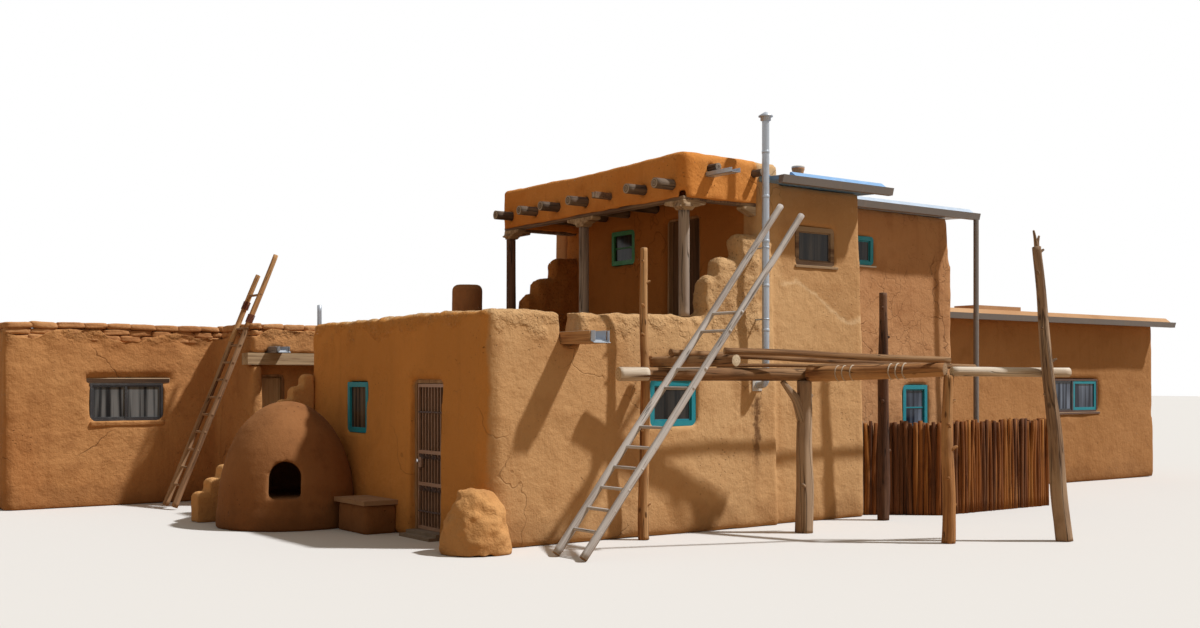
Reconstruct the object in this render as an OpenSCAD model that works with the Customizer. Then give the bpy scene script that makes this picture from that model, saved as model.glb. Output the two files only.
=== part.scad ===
/* [Front room] */
// Width of the front room, west face to the tower's west face
room_w = 4500; // [3900:20:5200]
// Depth of the front row of rooms, front face to rear face
row_d = 5340; // [5000:20:6000]
// Top of the front room's parapet
parapet_h = 2880; // [2800:10:2980]
// Thickness of the adobe walls
wall_t = 420; // [360:10:460]
// Lean of the outer faces, in millimetres for each metre of height
lean_rate = 20; // [8:1:24]
// Rounding of the free corners, seen from above
corner_r = 360; // [200:10:400]
// Rounding of the outer top edges
cap_r = 90; // [50:5:110]
// Top of the roof decks and of the upper floor
deck_z = 2500; // [2440:10:2560]
// Thickness of the roof decks and of the upper floor
deck_t = 200; // [120:10:260]
// Thickness of the packed earth floors
floor_t = 50; // [30:5:60]

/* [West doorway] */
// South jamb of the west doorway, from the front face
west_door_y = 1157; // [1000:10:1300]
// Width of the west doorway
west_door_w = 813; // [760:5:900]
// Height of the west doorway
west_door_h = 2030; // [1980:10:2100]
// Set back of the barred door from the wall's outer face
door_recess = 120; // [90:5:140]
// Width of the door frames' posts
door_post_w = 45; // [35:1:60]
// Depth of the door frames
door_post_d = 120; // [116:1:126]
// Gap all round a door leaf
door_gap = 7; // [7:1:10]
// Height of the grey threshold
threshold_h = 80; // [60:5:100]
// Thickness of the steel door's hollow sections
bar_frame_t = 30; // [25:1:35]
// Size of the steel door's upright bars
bar_t = 13; // [10:1:16]
// Number of upright bars in the steel door
bar_count = 7; // [5:1:9]
// Thickness of the wooden door leaves
leaf_t = 40; // [35:1:45]
// Length of one knuckle of a door hinge
hinge_l = 50; // [40:5:70]

/* [Windows] */
// Width of the painted frames' boards
frame_w = 70; // [50:5:80]
// Depth of the window frames
frame_d = 70; // [50:5:90]
// Set back of the window frames from the wall's outer face
frame_recess = 30; // [20:5:60]
// Thickness of the glass
glass_t = 6; // [4:1:8]
// South edge of the west window, from the front face
west_win_y = 3285; // [3150:10:3350]
// Sill height of the west window
west_win_z = 1290; // [1200:10:1350]
// Width of the west window
west_win_w = 655; // [560:5:700]
// Height of the west window
west_win_h = 710; // [600:10:760]
// West edge of the south window, from the west face
south_win_x = 2520; // [2300:10:2700]
// Sill height of the south window
south_win_z = 1420; // [1350:10:1480]
// Width of the south window
south_win_w = 770; // [650:10:850]
// Height of the south window
south_win_h = 600; // [500:10:650]
// South edge of the green window, from the front face
green_win_y = 3040; // [2900:10:3200]
// Sill height of the green window
green_win_z = 3870; // [3780:10:3920]
// Width of the green window
green_win_w = 610; // [500:10:700]
// Height of the green window
green_win_h = 540; // [460:10:580]
// West edge of the tower's window, from the front room's west face
tower_win_x = 5270; // [5150:10:5350]
// Sill height of the tower's window
tower_win_z = 3680; // [3600:10:3760]
// Width of the tower's window
tower_win_w = 780; // [700:10:860]
// Height of the tower's window
tower_win_h = 560; // [480:10:640]
// West edge of the hall's upper window
hall_win_x = 7500; // [7300:10:7700]
// Sill height of the hall's upper window
hall_win_z = 3890; // [3780:10:3950]
// Width of both hall windows
hall_win_w = 600; // [500:10:700]
// Height of the hall's upper window
hall_win_h = 470; // [400:10:540]
// West edge of the hall's lower window
hall_low_x = 8760; // [8500:10:8900]
// Sill height of the hall's lower window
hall_low_z = 1200; // [1150:10:1300]
// Height of the hall's lower window
hall_low_h = 750; // [650:10:800]
// West edge of the wing's sliding window
wing_win_x = 14200; // [13900:20:14500]
// Sill height of the wing's sliding window
wing_win_z = 1400; // [1300:10:1450]
// Width of the wing's sliding window
wing_win_w = 1560; // [1400:20:1700]
// Height of the wing's sliding window
wing_win_h = 660; // [600:10:700]
// Distance of the left block's window from its west face
left_win_x = 1320; // [1200:10:1450]
// Width of the left block's sliding window
left_win_w = 1160; // [1000:20:1300]
// Sill height of the left block's sliding window
left_win_z = 1370; // [1300:10:1420]
// Height of the left block's sliding window
left_win_h = 610; // [550:10:660]

/* [Tower and hall] */
// Width of the tower, west face to east face
tower_w = 2160; // [2100:10:2300]
// Set back of the tower's front from the front room's front face
tower_back = 100; // [80:5:130]
// How far the front room's thick wall laps over the tower's front
lap_w = 270; // [200:10:320]
// Underside of the tower's and hall's roofs above their front faces
eave_z = 4800; // [4740:10:4900]
// Width of the hall, from the tower's east face
hall_w = 3400; // [3100:20:3600]
// Set back of the hall's front from the front room's front face
hall_back = 1200; // [1000:20:1300]
// Height of the clay vent on the tower's roof
vent_h = 380; // [300:10:420]
// Radius of the clay vent
vent_r = 75; // [60:5:85]
// Distance of the clay vent from the tower's east face
vent_in = 560; // [500:10:620]
// Distance of the clay vent from the front room's front face
vent_y = 1000; // [900:10:1100]
// Rise of the shed roofs, in millimetres for each metre of depth
roof_rate = 45; // [20:1:55]
// Thickness of the shed roofs
roof_t = 60; // [40:5:80]
// Overhang of the shed roofs in front of the walls
eave_out = 300; // [200:10:340]
// Overhang of the shed roofs at their east ends
verge_out = 110; // [60:5:130]
// Height of the turned up sheet along the eaves
apron_h = 90; // [60:5:110]
// Front to back size of the gutters
gutter_w = 110; // [90:5:130]
// Height of the gutters
gutter_h = 105; // [90:5:120]
// Sheet thickness of the gutters
gutter_t = 6; // [4:1:8]
// Diameter of the downspout
spout_d = 90; // [70:5:110]

/* [Wing] */
// Length of the wing, from the hall's east face
wing_w = 7690; // [7300:20:8000]
// Set back of the wing's front from the front room's front face
wing_back = 2200; // [2000:20:2300]
// Underside of the wing's roof above its front face
wing_eave_z = 3200; // [3100:10:3300]
// Distance of the roof light's curb from the wing's east face
curb_in = 5650; // [5400:20:5800]
// Width of the roof light's curb
curb_w = 1360; // [1200:20:1500]
// Depth of the roof light's curb
curb_d = 500; // [400:10:600]
// Height of the roof light's curb over the roof at its front
curb_h = 180; // [150:10:220]

/* [Annex] */
// Distance from the front row's rear face to the annex's front face
alcove_d = 1560; // [1500:20:1700]
// How far the annex reaches west of the front room's west face
annex_left = 260; // [200:10:320]
// Thickness of the annex's west wall and of the nook's pier
annex_wall_t = 220; // [200:10:240]
// East side of the alcove, from the front room's west face
alcove_w = 1200; // [1120:20:1400]
// Parapet top of the annex and of the left block
annex_h = 2950; // [2880:10:3000]
// Set back of the left block's front from the annex's front
left_back = 1500; // [1400:20:1700]
// Width of the left block, from the annex's west face
left_w = 3400; // [3300:20:3700]
// Depth of the left block
left_d = 3200; // [2900:20:3500]
// Depth of the nook over the annex door
nook_d = 300; // [240:10:340]
// Thickness of the wall that holds the annex door
nook_wall_t = 250; // [220:10:300]
// Underside of the board that spans the nook
nook_h = 2280; // [2240:10:2320]
// Height of the board that spans the nook
board_h = 190; // [170:5:220]
// Width of the annex doorway
annex_door_w = 480; // [460:10:600]
// Height of the annex doorway
annex_door_h = 2130; // [2080:10:2180]

/* [Portal] */
// Width of the portal, from its band's west face to the tower
portal_w = 1360; // [1300:10:1460]
// South face of the portal's adobe band
portal_y = 150; // [120:5:170]
// North face of the portal's adobe band
portal_end = 4800; // [4700:10:4850]
// Thickness of the portal's adobe band
band_t = 300; // [280:10:340]
// Underside of the portal's adobe band
band_z = 4480; // [4440:10:4520]
// Height of the portal's adobe band
band_h = 610; // [590:10:640]
// Width of the portal's beams
beam_w = 160; // [130:5:180]
// Height of the portal's beams
beam_h = 140; // [120:5:150]
// How much of the beams shows below the band
beam_show = 30; // [20:5:50]
// Distance of the beams' outer faces from the band's outer faces
beam_in = 40; // [20:5:60]
// Diameter of the portal's posts
post_d = 150; // [120:5:160]
// Distance of the middle post from the south beam's middle
post_mid = 2470; // [2300:10:2600]
// Height of the carved corbels
corbel_h = 140; // [110:5:160]
// Length of a corbel's arm from its post's middle
corbel_l = 330; // [260:10:400]
// Radius of the log ends
viga_r = 70; // [60:2:80]
// How far the log ends stand out of the band
viga_out = 300; // [200:10:340]
// Thickness of the portal's boarded roof
portal_roof_t = 60; // [50:5:80]
// Size of the square drain in the portal's west side
drain_w = 90; // [70:5:100]
// Radius of the two log ends in the portal's south face
south_viga_r = 50; // [40:2:60]
// Height of the two log ends in the portal's south face
south_viga_z = 4900; // [4890:5:4950]
// Gap between the portal's corner post and the stepped walls' lowest step
step_gap = 85; // [60:5:120]
// Top of the stepped walls' lowest step
step_low_z = 3440; // [3350:10:3500]
// Length of the stepped walls' middle step, from the tower's west face
step_mid_l = 860; // [800:10:920]
// Top of the stepped walls' middle step
step_mid_z = 3710; // [3620:10:3780]
// Length of the stepped walls' highest step
step_top_l = 520; // [440:10:600]
// Top of the stepped walls' highest step
step_top_z = 4040; // [3950:10:4150]
// Rounding of the stepped walls' edges
step_cap = 150; // [110:5:160]
// Thickness of the north stepped wall
step_wall_t = 340; // [330:10:380]
// South jamb of the upper doorway, from the front face
upper_door_y = 1450; // [1350:10:1550]
// Width of the upper doorway
upper_door_w = 800; // [700:10:850]
// Height of the upper doorway
upper_door_h = 1980; // [1900:10:2040]

/* [Drains] */
// West side of the front drain trough
canale_x = 1120; // [1000:10:1200]
// Width of the drain troughs
canale_w = 290; // [240:10:320]
// Height of the drain troughs' sides
canale_h = 150; // [120:5:170]
// Thickness of the drain troughs' boards
canale_t = 30; // [20:1:35]
// How far the front trough stands out of the wall
canale_out = 550; // [400:10:600]
// West side of the annex's small trough
annex_canale_x = 40; // [0:10:120]
// Width of the annex's small trough
annex_canale_w = 240; // [200:10:280]
// Height of the annex's small trough
annex_canale_h = 100; // [80:5:120]
// How far the annex's small trough stands out
annex_canale_out = 300; // [200:10:340]

/* [Yard masonry] */
// Radius of the outdoor oven at the ground
oven_r = 950; // [850:10:1000]
// Height of the outdoor oven
oven_h = 1730; // [1600:10:1800]
// Distance of the oven's middle from the west face
oven_x = 780; // [700:10:820]
// Distance of the oven's middle from the front face
oven_y = 4130; // [4050:10:4200]
// Wall thickness of the oven
oven_t = 200; // [160:10:240]
// Height of the oven's hearth
oven_sill = 430; // [380:10:460]
// Width of the oven's mouth
mouth_w = 430; // [360:10:480]
// Height of the oven's mouth
mouth_h = 500; // [420:10:560]
// Turn of the oven's mouth from straight south towards west
mouth_turn = 24; // [10:1:35]
// Number of steps on the stepped buttress
buttress_n = 10; // [8:1:10]
// Run of each step
buttress_run = 175; // [160:5:180]
// Rise of each step
buttress_rise = 188; // [175:1:195]
// Top of the lowest step
buttress_z = 430; // [380:10:460]
// Thickness of the stepped buttress
buttress_t = 320; // [280:10:340]
// Radius of the mound at the front corner
mound_r = 420; // [340:10:460]
// Height of the mound at the front corner
mound_h = 780; // [700:10:860]
// How far west of the corner the mound's middle lies
mound_x = 170; // [120:10:200]
// How far south of the corner the mound's middle lies
mound_y = 80; // [40:10:120]
// South end of the bench, from the front face
bench_y = 2300; // [2250:10:2400]
// Length of the bench
bench_l = 880; // [800:10:900]
// Depth of the bench from the wall's foot
bench_d = 450; // [380:10:500]
// Top of the bench's adobe
bench_h = 380; // [330:10:420]
// Thickness of the bench's stone top
slab_t = 60; // [45:5:75]
// How far the bench's top stands over its edges
slab_out = 30; // [20:5:50]
// Distance of the adobe chimney from the west face
chimney_x = 2650; // [2500:10:2800]
// Radius of the adobe chimney
chimney_r = 240; // [200:5:250]
// Top of the adobe chimney
chimney_z = 3570; // [3450:10:3650]
// Radius of the adobe chimney's flue
flue_r = 110; // [90:5:130]

/* [Metal pipes] */
// Outer diameter of the stovepipe
pipe_d = 100; // [80:5:115]
// Distance of the stovepipe from the tower's west face
pipe_in = 140; // [110:5:200]
// Height of the stovepipe's elbow
pipe_z = 1960; // [1850:10:2050]
// Top of the stovepipe
pipe_top = 5700; // [5500:10:5800]
// Distance of the stovepipe's middle from the wall's foot
pipe_out = 150; // [130:5:180]
// Height of the small pipe on the annex's roof
vent_pipe_h = 840; // [700:20:900]
// Radius of the small pipe on the annex's roof
vent_pipe_r = 40; // [30:1:50]
// Distance of the small pipe from the annex's west room face
vent_pipe_x = 1420; // [1300:20:1500]

/* [Ladders] */
// Radius of the ladders' rails
rail_r = 50; // [40:1:55]
// Radius of the ladders' rungs
rung_r = 19; // [15:1:24]
// Spacing of the rungs along the rails
rung_step = 300; // [280:5:330]
// Slope of the front ladder, in degrees
ladder_tilt = 50.4; // [49:0.1:52]
// Distance of the front ladder's rear rail from the wall's foot
ladder_y = 900; // [860:5:940]
// Spacing of the front ladder's rails
ladder_w = 540; // [480:5:580]
// Height of the front ladder's rear rail
ladder_top = 4280; // [4100:10:4400]
// How much lower the front ladder's other rail ends
ladder_drop = 190; // [100:10:250]
// Slope of the annex ladder, in degrees
annex_tilt = 67.7; // [66:0.1:69]
// Spacing of the annex ladder's rails
annex_ladder_w = 450; // [400:5:480]
// Height of the annex ladder's front rail
annex_ladder_top = 4060; // [3900:10:4150]
// How much lower the annex ladder's other rail ends
annex_ladder_drop = 310; // [200:10:400]

/* [Drying rack] */
// Radius of the rack's big beams
rack_beam_r = 85; // [75:1:90]
// Height of the front beam's middle
rack_z = 2100; // [2060:5:2140]
// West end of the front beam
rack_x = 1750; // [1650:10:1850]
// East end of the front beam
beam_end_x = 4750; // [4700:10:4800]
// Distance of the front beam's west end from the front face
beam_near = 290; // [280:5:310]
// Distance of the front beam's east end from the front face
beam_far = 869; // [850:1:890]
// Rise of the second beam, from the forked post to the next one
spar_rise = 55; // [40:5:65]
// Distance of the tall front post from the front beam's west end
post_a_x = 450; // [400:10:500]
// Place of the forked post, from the west face
fork_x = 4400; // [4380:5:4420]
// Distance of the forked post from the front face
fork_y = 850; // [840:2:860]
// Place of the dark post by the tower, from the west face
post_c_x = 6450; // [6300:10:6600]
// Place of the front middle post, from the west face
post_d_x = 5060; // [5000:10:5120]
// Distance of the front middle post from the front face
post_d_y = 2700; // [2600:10:2800]
// Place of the leaning post's foot, from the west face
post_e_x = 6417; // [6357:10:6477]
// Distance of the leaning post's foot from the front face
post_e_y = 3408; // [3358:10:3458]
// Height of the leaning post
post_e_h = 3890; // [3700:10:4000]
// How far west the leaning post's top lies of its foot
post_e_lean = 367; // [300:1:400]
// Middle of the cross pole that the ladder leans on
cross_x = 2398; // [2370:2:2420]
// Distance of the cross pole's near end from the front face
cross_y = 130; // [100:5:160]
// Length of the cross pole
cross_l = 1620; // [1560:10:1680]
// East end of the long upper pole, from the west face
pole_end_x = 8400; // [8000:20:8600]
// Distance of that end from the front face
pole_end_y = 470; // [440:5:500]
// Distance of the pole's west end from the front face
pole_y = 600; // [560:5:640]
// How far the upper poles reach past what carries them
pole_past = 70; // [50:5:90]
// Height of the rack's tall front post
post_a_h = 3700; // [3500:20:3800]
// Height of the rack's dark post
post_c_h = 3290; // [3100:20:3400]
// Radius of the cross pole that carries the ladder
cross_r = 70; // [60:1:75]
// Radius of the long upper poles
pole_r = 42; // [36:1:45]
// Radius of the thin upper pole
stick_r = 25; // [20:1:30]
// Radius of the post beside the south window
post_a_r = 65; // [55:1:75]
// Radius of the forked post
post_b_r = 120; // [105:1:130]
// Radius of the post beside the tower's corner
post_c_r = 85; // [75:1:95]
// Radius of the front middle post
post_d_r = 78; // [70:1:85]
// Radius of the leaning post at its foot
post_e_r = 100; // [90:1:110]
// Radius of the pale pole between the two front posts
pale_r = 60; // [50:1:65]

/* [Fence] */
// Height of the stake fence
fence_h = 1420; // [1300:10:1500]
// Thickness of the stake fence
fence_t = 60; // [50:1:75]
// Length of the fence's long side
fence_l = 2660; // [2400:20:2900]
// Start of the fence's long side, from the tower's east face
fence_x = 980; // [900:20:1100]
// Distance of the fence's long side in front of the front face
fence_y = 440; // [400:10:500]
// End of the fence's short leg by the tower, from the tower's east face
knee_x = 440; // [400:10:500]
// Distance of that end behind the front face
knee_y = 100; // [60:10:160]
// Length of the fence's return at its east end
return_l = 700; // [600:20:900]

/* [Hidden] */

// Colours of the materials
adobe = [0.66, 0.44, 0.26];
adobe_dark = [0.50, 0.31, 0.18];
timber = [0.48, 0.36, 0.26];
pale_wood = [0.74, 0.60, 0.42];
turquoise = [0.05, 0.55, 0.66];
steel = [0.62, 0.66, 0.70];

// Small clearance where round pieces lie on each other
seat = 0.3;
// Segments in a quarter turn of a rounded edge
round_n = 4;

// Places that follow from the sizes above
inner_y = row_d - wall_t;
tower_x = room_w;
tower_end = tower_x + tower_w;
hall_end = tower_end + hall_w;
wing_end = hall_end + wing_w;
annex_y = row_d + alcove_d;
nook_y = annex_y + nook_d;
annex_in_y = nook_y + nook_wall_t;
annex_in_x = -annex_left + annex_wall_t;
left_y = annex_y + left_back;
left_x = -annex_left - left_w;
rear_y = left_y + left_d;
band_top = band_z + band_h;

portal_x = tower_x - portal_w;
band_in_x = portal_x + band_t;
portal_l = portal_end - portal_y;
beam_z = band_z - beam_show;
beam_top = beam_z + beam_h;
viga_z = beam_top + viga_r;
viga_share = [0.05, 0.185, 0.49, 0.65, 0.78, 0.93];
drain_share = 0.36;
step_low_x = portal_x + beam_in + beam_w / 2 + post_d / 2 + step_gap;
step_x = [step_low_x, tower_x - step_mid_l, tower_x - step_top_l];
step_z = [step_low_z, step_mid_z, step_top_z];

// Places of the drying rack's posts on the ground
post_e_foot = [post_e_x, -post_e_y, 0];
post_e_top = post_e_foot + [-post_e_lean, post_e_lean * 0.458, post_e_h];

// Middle of the whole footprint, which becomes the origin
east_end = wing_end + verge_out;
lowest_y = post_e_foot[1] - post_e_r - 0.5;
centre_x = (left_x + east_end) / 2;
centre_y = (lowest_y + rear_y) / 2;

function lean(h) = lean_rate * h / 1000;
function arc(c, r, from, to, n) =
  [for (i = [0:n]) c + r * [cos(from + (to - from) * i / n), sin(from + (to - from) * i / n)]];
function corner(x, y, r, sx, sy, from) =
  r > 0 ? arc([x + sx * r, y + sy * r], r, from, from + 90, round_n + 2) : [[x, y]];
function roof_under(front, z, y) = z + roof_rate * (y - front) / 1000;

// A box between two corners
module box(x0, x1, y0, y1, z0, z1) {
  translate([x0, y0, z0]) cube([x1 - x0, y1 - y0, z1 - z0]);
}

// The section of a wall or block: sides that are outer ones lean in and end in a round edge
module section(a, b, h, a_out, b_out, cap) {
  low = h - cap;
  right = b_out ? arc([b - lean(low) - cap, low], cap, 0, 90, round_n) : [[b, h]];
  left = a_out ? arc([a + lean(low) + cap, low], cap, 90, 180, round_n) : [[a, h]];
  polygon(concat([[a, 0], [b, 0]], right, left));
}

// Draws an X and Z outline between two Y planes
module along_y(y0, y1) {
  translate([0, y1, 0]) rotate([90, 0, 0]) linear_extrude(y1 - y0) children();
}

// Draws a Y and Z outline between two X planes
module along_x(x0, x1) {
  translate([x0, 0, 0]) rotate([90, 0, 90]) linear_extrude(x1 - x0) children();
}

// A block of adobe: out says which of its west, east, south and north sides lean and
// are rounded at the top, r gives its corner roundings, south-west first, anticlockwise
module mass(x0, x1, y0, y1, h, out, r = [0, 0, 0, 0], cap = cap_r) {
  intersection() {
    along_y(y0 - 1, y1 + 1) section(x0, x1, h, out[0], out[1], cap);
    along_x(x0 - 1, x1 + 1)
      section(y0, y1, h, out[2], out[3], min(cap, (y1 - y0) / 2 - lean(h) - seat));
    linear_extrude(h + 1) polygon(concat(
      corner(x0, y0, r[0], 1, 1, 180), corner(x1, y0, r[1], -1, 1, 270),
      corner(x1, y1, r[2], -1, -1, 0), corner(x0, y1, r[3], 1, -1, 90)));
  }
}

// The outer form of the front room
module room_mass() {
  mass(0, room_w, 0, row_d, parapet_h, [true, false, true, true], [corner_r, 0, 0, corner_r]);
}

// The outer form of the tower, below its sloping roof
module tower_mass() {
  intersection() {
    mass(tower_x, tower_end, tower_back, row_d, band_top + 200,
      [false, true, true, true], [0, corner_r / 2, 0, 0]);
    under_roof(tower_back, eave_z);
  }
}

// The outer form of the hall, below its sloping roof
module hall_mass() {
  intersection() {
    mass(tower_end - wall_t, hall_end, hall_back, row_d, band_top + 200,
      [false, true, true, true], [0, corner_r / 2, 0, 0]);
    under_roof(hall_back, eave_z);
  }
}

// The wall between the portal and the tower, with its parapet
module back_mass() {
  mass(room_w, room_w + wall_t, tower_back, row_d, band_top, [false, false, true, true]);
}

// The outer form of the wing, below its sloping roof
module wing_mass() {
  intersection() {
    mass(hall_end - wall_t, wing_end, wing_back, row_d, wing_eave_z + 400,
      [false, false, true, true]);
    under_roof(wing_back, wing_eave_z);
  }
}

// The outer form of the annex and its left block
module annex_mass() {
  mass(-annex_left, room_w, annex_y, rear_y, annex_h,
    [true, false, true, true], [corner_r / 3, 0, 0, 0]);
}

// The part of the annex that joins the front room, east of the alcove
module link_mass() {
  mass(alcove_w, room_w, inner_y, annex_in_y, annex_h, [true, false, false, false]);
}

// The left block's outer form
module left_mass() {
  mass(left_x, annex_in_x, left_y, rear_y, annex_h,
    [true, false, true, true], [corner_r / 2, 0, 0, corner_r / 2]);
}

// Everything below a shed roof that starts above a front face
module under_roof(front, z) {
  along_x(-10, wing_end + 10) polygon([
    [front - 500, 0], [rear_y, 0], [rear_y, roof_under(front, z, rear_y)],
    [front - 500, roof_under(front, z, front - 500)]]);
}

// A straight log between two points
module log_between(a, b, r1, r2) {
  v = b - a;
  l = norm(v);
  translate(a) rotate([0, acos(v[2] / l), atan2(v[1], v[0])]) cylinder(h = l, r1 = r1, r2 = r2, $fn = 40);
}

// A slice of a block between two corners seen from above
module slice(x0, x1, y0, y1, z0 = 0) {
  intersection() {
    children();
    box(x0, x1, y0, y1, z0, band_top + 300);
  }
}

// Windows and frames in walls that face south or west
module south_hole(x, z, w, h, front) {
  box(x, x + w, front - 50, front + wall_t + 50, z, z + h);
}
module south_frame(x, z, w, h, front, border = frame_w) {
  difference() {
    box(x, x + w, front, front + frame_d, z, z + h);
    box(x + border, x + w - border, front - 1, front + frame_d + 1, z + border, z + h - border);
  }
}
module south_pane(x, z, w, h, front, border = frame_w) {
  y = front + (frame_d - glass_t) / 2;
  box(x + border, x + w - border, y, y + glass_t, z + border, z + h - border);
}
module west_frame(y, z, w, h, front, border = frame_w) {
  difference() {
    box(front, front + frame_d, y, y + w, z, z + h);
    box(front - 1, front + frame_d + 1, y + border, y + w - border, z + border, z + h - border);
  }
}
module west_pane(y, z, w, h, front, border = frame_w) {
  x = front + (frame_d - glass_t) / 2;
  box(x, x + glass_t, y + border, y + w - border, z + border, z + h - border);
}

// Set back of a frame from a leaning face at a height
function frame_at(front, z) = front + lean(z) + frame_recess;

// The steps that rise from the front wall to the tower
module step_mass() {
  for (i = [0:len(step_x) - 1]) {
    last = i == len(step_x) - 1;
    mass(step_x[i], room_w + (last ? lap_w : 0), 0, wall_t, step_z[i],
      [true, last, true, true], [cap_r, last ? cap_r / 2 : 0, 0, cap_r], step_cap);
  }
}

// The front room
module front_wall() {
  color(adobe) difference() {
    union() {
      slice(-1, room_w, -1, wall_t) room_mass();
      step_mass();
    }
    tower_mass();
    back_mass();
    south_hole(south_win_x, south_win_z, south_win_w, south_win_h, 0);
    box(canale_x, canale_x + canale_w, -50, wall_t + 50, deck_z - canale_t, parapet_h + 50);
  }
}
module west_wall_south() {
  color(adobe) slice(-1, wall_t, wall_t, west_door_y) room_mass();
}
module west_wall_north() {
  color(adobe) difference() {
    slice(-1, wall_t, west_door_y + west_door_w, inner_y) room_mass();
    box(-50, wall_t + 50, west_win_y, west_win_y + west_win_w, west_win_z, west_win_z + west_win_h);
  }
}
module west_wall_lintel() {
  color(adobe)
    slice(-1, wall_t, west_door_y, west_door_y + west_door_w, west_door_h) room_mass();
}
module north_wall() {
  color(adobe) slice(-1, room_w, inner_y, row_d + 1) room_mass();
}

// The tower
module portal_back_wall() {
  color(adobe) difference() {
    slice(room_w, room_w + wall_t, wall_t, inner_y) back_mass();
    box(room_w - 50, room_w + wall_t + 50, green_win_y, green_win_y + green_win_w,
      green_win_z, green_win_z + green_win_h);
    box(room_w - 50, room_w + wall_t + 50, upper_door_y, upper_door_y + upper_door_w,
      deck_z, deck_z + upper_door_h);
  }
}
module tower_front_wall() {
  color(adobe) difference() {
    union() {
      slice(tower_x, tower_end + 1, -1, wall_t) tower_mass();
      slice(tower_x, tower_x + wall_t, -1, wall_t) back_mass();
    }
    south_hole(tower_win_x, tower_win_z, tower_win_w, tower_win_h, tower_back);
  }
}
module tower_side_wall() {
  color(adobe)
    slice(tower_end - wall_t, tower_end + 1, wall_t, hall_back + wall_t) tower_mass();
}
module rear_wall() {
  color(adobe) union() {
    slice(tower_x, tower_end + 1, inner_y, row_d + 1) tower_mass();
    slice(tower_end - wall_t, hall_end + 1, inner_y, row_d + 1) hall_mass();
    slice(tower_x, tower_x + wall_t, inner_y, row_d + 1) back_mass();
  }
}

// The hall
module hall_front_wall() {
  color(adobe) difference() {
    slice(tower_end - wall_t, hall_end + 1, hall_back - 1, hall_back + wall_t) hall_mass();
    tower_mass();
    south_hole(hall_win_x, hall_win_z, hall_win_w, hall_win_h, hall_back);
    south_hole(hall_low_x, hall_low_z, hall_win_w, hall_low_h, hall_back);
  }
}
module hall_east_wall() {
  color(adobe)
    slice(hall_end - wall_t, hall_end + 1, hall_back + wall_t, inner_y) hall_mass();
}

// The wing
module wing_front_wall() {
  color(adobe) difference() {
    slice(hall_end - wall_t, wing_end + 1, wing_back - 1, wing_back + wall_t) wing_mass();
    hall_mass();
    south_hole(wing_win_x, wing_win_z, wing_win_w, wing_win_h, wing_back);
  }
}
module wing_back_walls() {
  color(adobe) difference() {
    union() {
      slice(hall_end - wall_t, wing_end + 1, inner_y, row_d + 1) wing_mass();
      slice(wing_end - wall_t, wing_end + 1, wing_back + wall_t, inner_y + 1) wing_mass();
    }
    hall_mass();
  }
}

// The annex and the left block
annex_door_x = annex_in_x;
module annex_front_left() {
  color(adobe) intersection() {
    annex_mass();
    box(-annex_left - 1, annex_door_x, annex_y - 1, annex_in_y, 0, nook_h);
  }
}
module annex_front_right() {
  color(adobe) difference() {
    box(annex_door_x + annex_door_w, alcove_w + wall_t, nook_y, annex_in_y, 0, nook_h);
    link_mass();
  }
}
module annex_front_top() {
  color(adobe) difference() {
    slice(-annex_left - 1, alcove_w + wall_t, annex_y - 1, annex_in_y, nook_h) annex_mass();
    box(-annex_left - 1, alcove_w + wall_t, annex_y - 1, nook_y, nook_h - 1, nook_h + board_h);
    link_mass();
    box(annex_canale_x, annex_canale_x + annex_canale_w, annex_y - 50, annex_in_y + 50,
      nook_h + board_h, nook_h + board_h + annex_canale_h);
  }
  color(adobe) box(annex_door_x, annex_door_x + annex_door_w, nook_y, annex_in_y,
    annex_door_h, nook_h);
}
module annex_west_wall() {
  color(adobe) difference() {
    slice(-annex_left - 1, annex_in_x, annex_in_y, left_y + 200) annex_mass();
    left_mass();
  }
}
module left_front_wall() {
  color(adobe) difference() {
    slice(left_x - 1, annex_in_x, left_y - 1, left_y + wall_t) left_mass();
    south_hole(left_x + left_win_x, left_win_z, left_win_w, left_win_h, left_y);
  }
}
module annex_back_walls() {
  color(adobe) difference() {
    union() {
      slice(left_x - 1, annex_in_x, rear_y - wall_t, rear_y + 1) left_mass();
      slice(annex_in_x - 1, room_w, rear_y - wall_t, rear_y + 1) annex_mass();
      slice(left_x - 1, left_x + wall_t, left_y + wall_t, rear_y) left_mass();
      slice(room_w - wall_t, room_w, annex_y + cap_r * 2, rear_y) annex_mass();
      slice(room_w - wall_t, room_w, inner_y, annex_in_y) link_mass();
    }
    room_mass();
  }
}
module alcove_wall() {
  color(adobe) difference() {
    slice(alcove_w - 1, alcove_w + wall_t, inner_y, annex_in_y) link_mass();
    room_mass();
  }
}

// Floors and flat roofs
module hall_plan() {
  polygon([
    [tower_x + wall_t, wall_t], [tower_end - wall_t, wall_t],
    [tower_end - wall_t, hall_back + wall_t], [hall_end - wall_t, hall_back + wall_t],
    [hall_end - wall_t, inner_y], [tower_x + wall_t, inner_y]]);
}
module annex_plan() {
  polygon([
    [annex_in_x, annex_in_y], [alcove_w + wall_t, annex_in_y], [alcove_w + wall_t, inner_y],
    [room_w - wall_t, inner_y], [room_w - wall_t, rear_y - wall_t],
    [left_x + wall_t, rear_y - wall_t], [left_x + wall_t, left_y + wall_t],
    [annex_in_x, left_y + wall_t]]);
}
module decks() {
  color(adobe) {
    box(wall_t, room_w, wall_t, inner_y, deck_z - deck_t, deck_z);
    translate([0, 0, deck_z - deck_t]) linear_extrude(deck_t) hall_plan();
    difference() {
      translate([0, 0, deck_z - deck_t]) linear_extrude(deck_t) annex_plan();
      room_mass();
    }
  }
}
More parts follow.
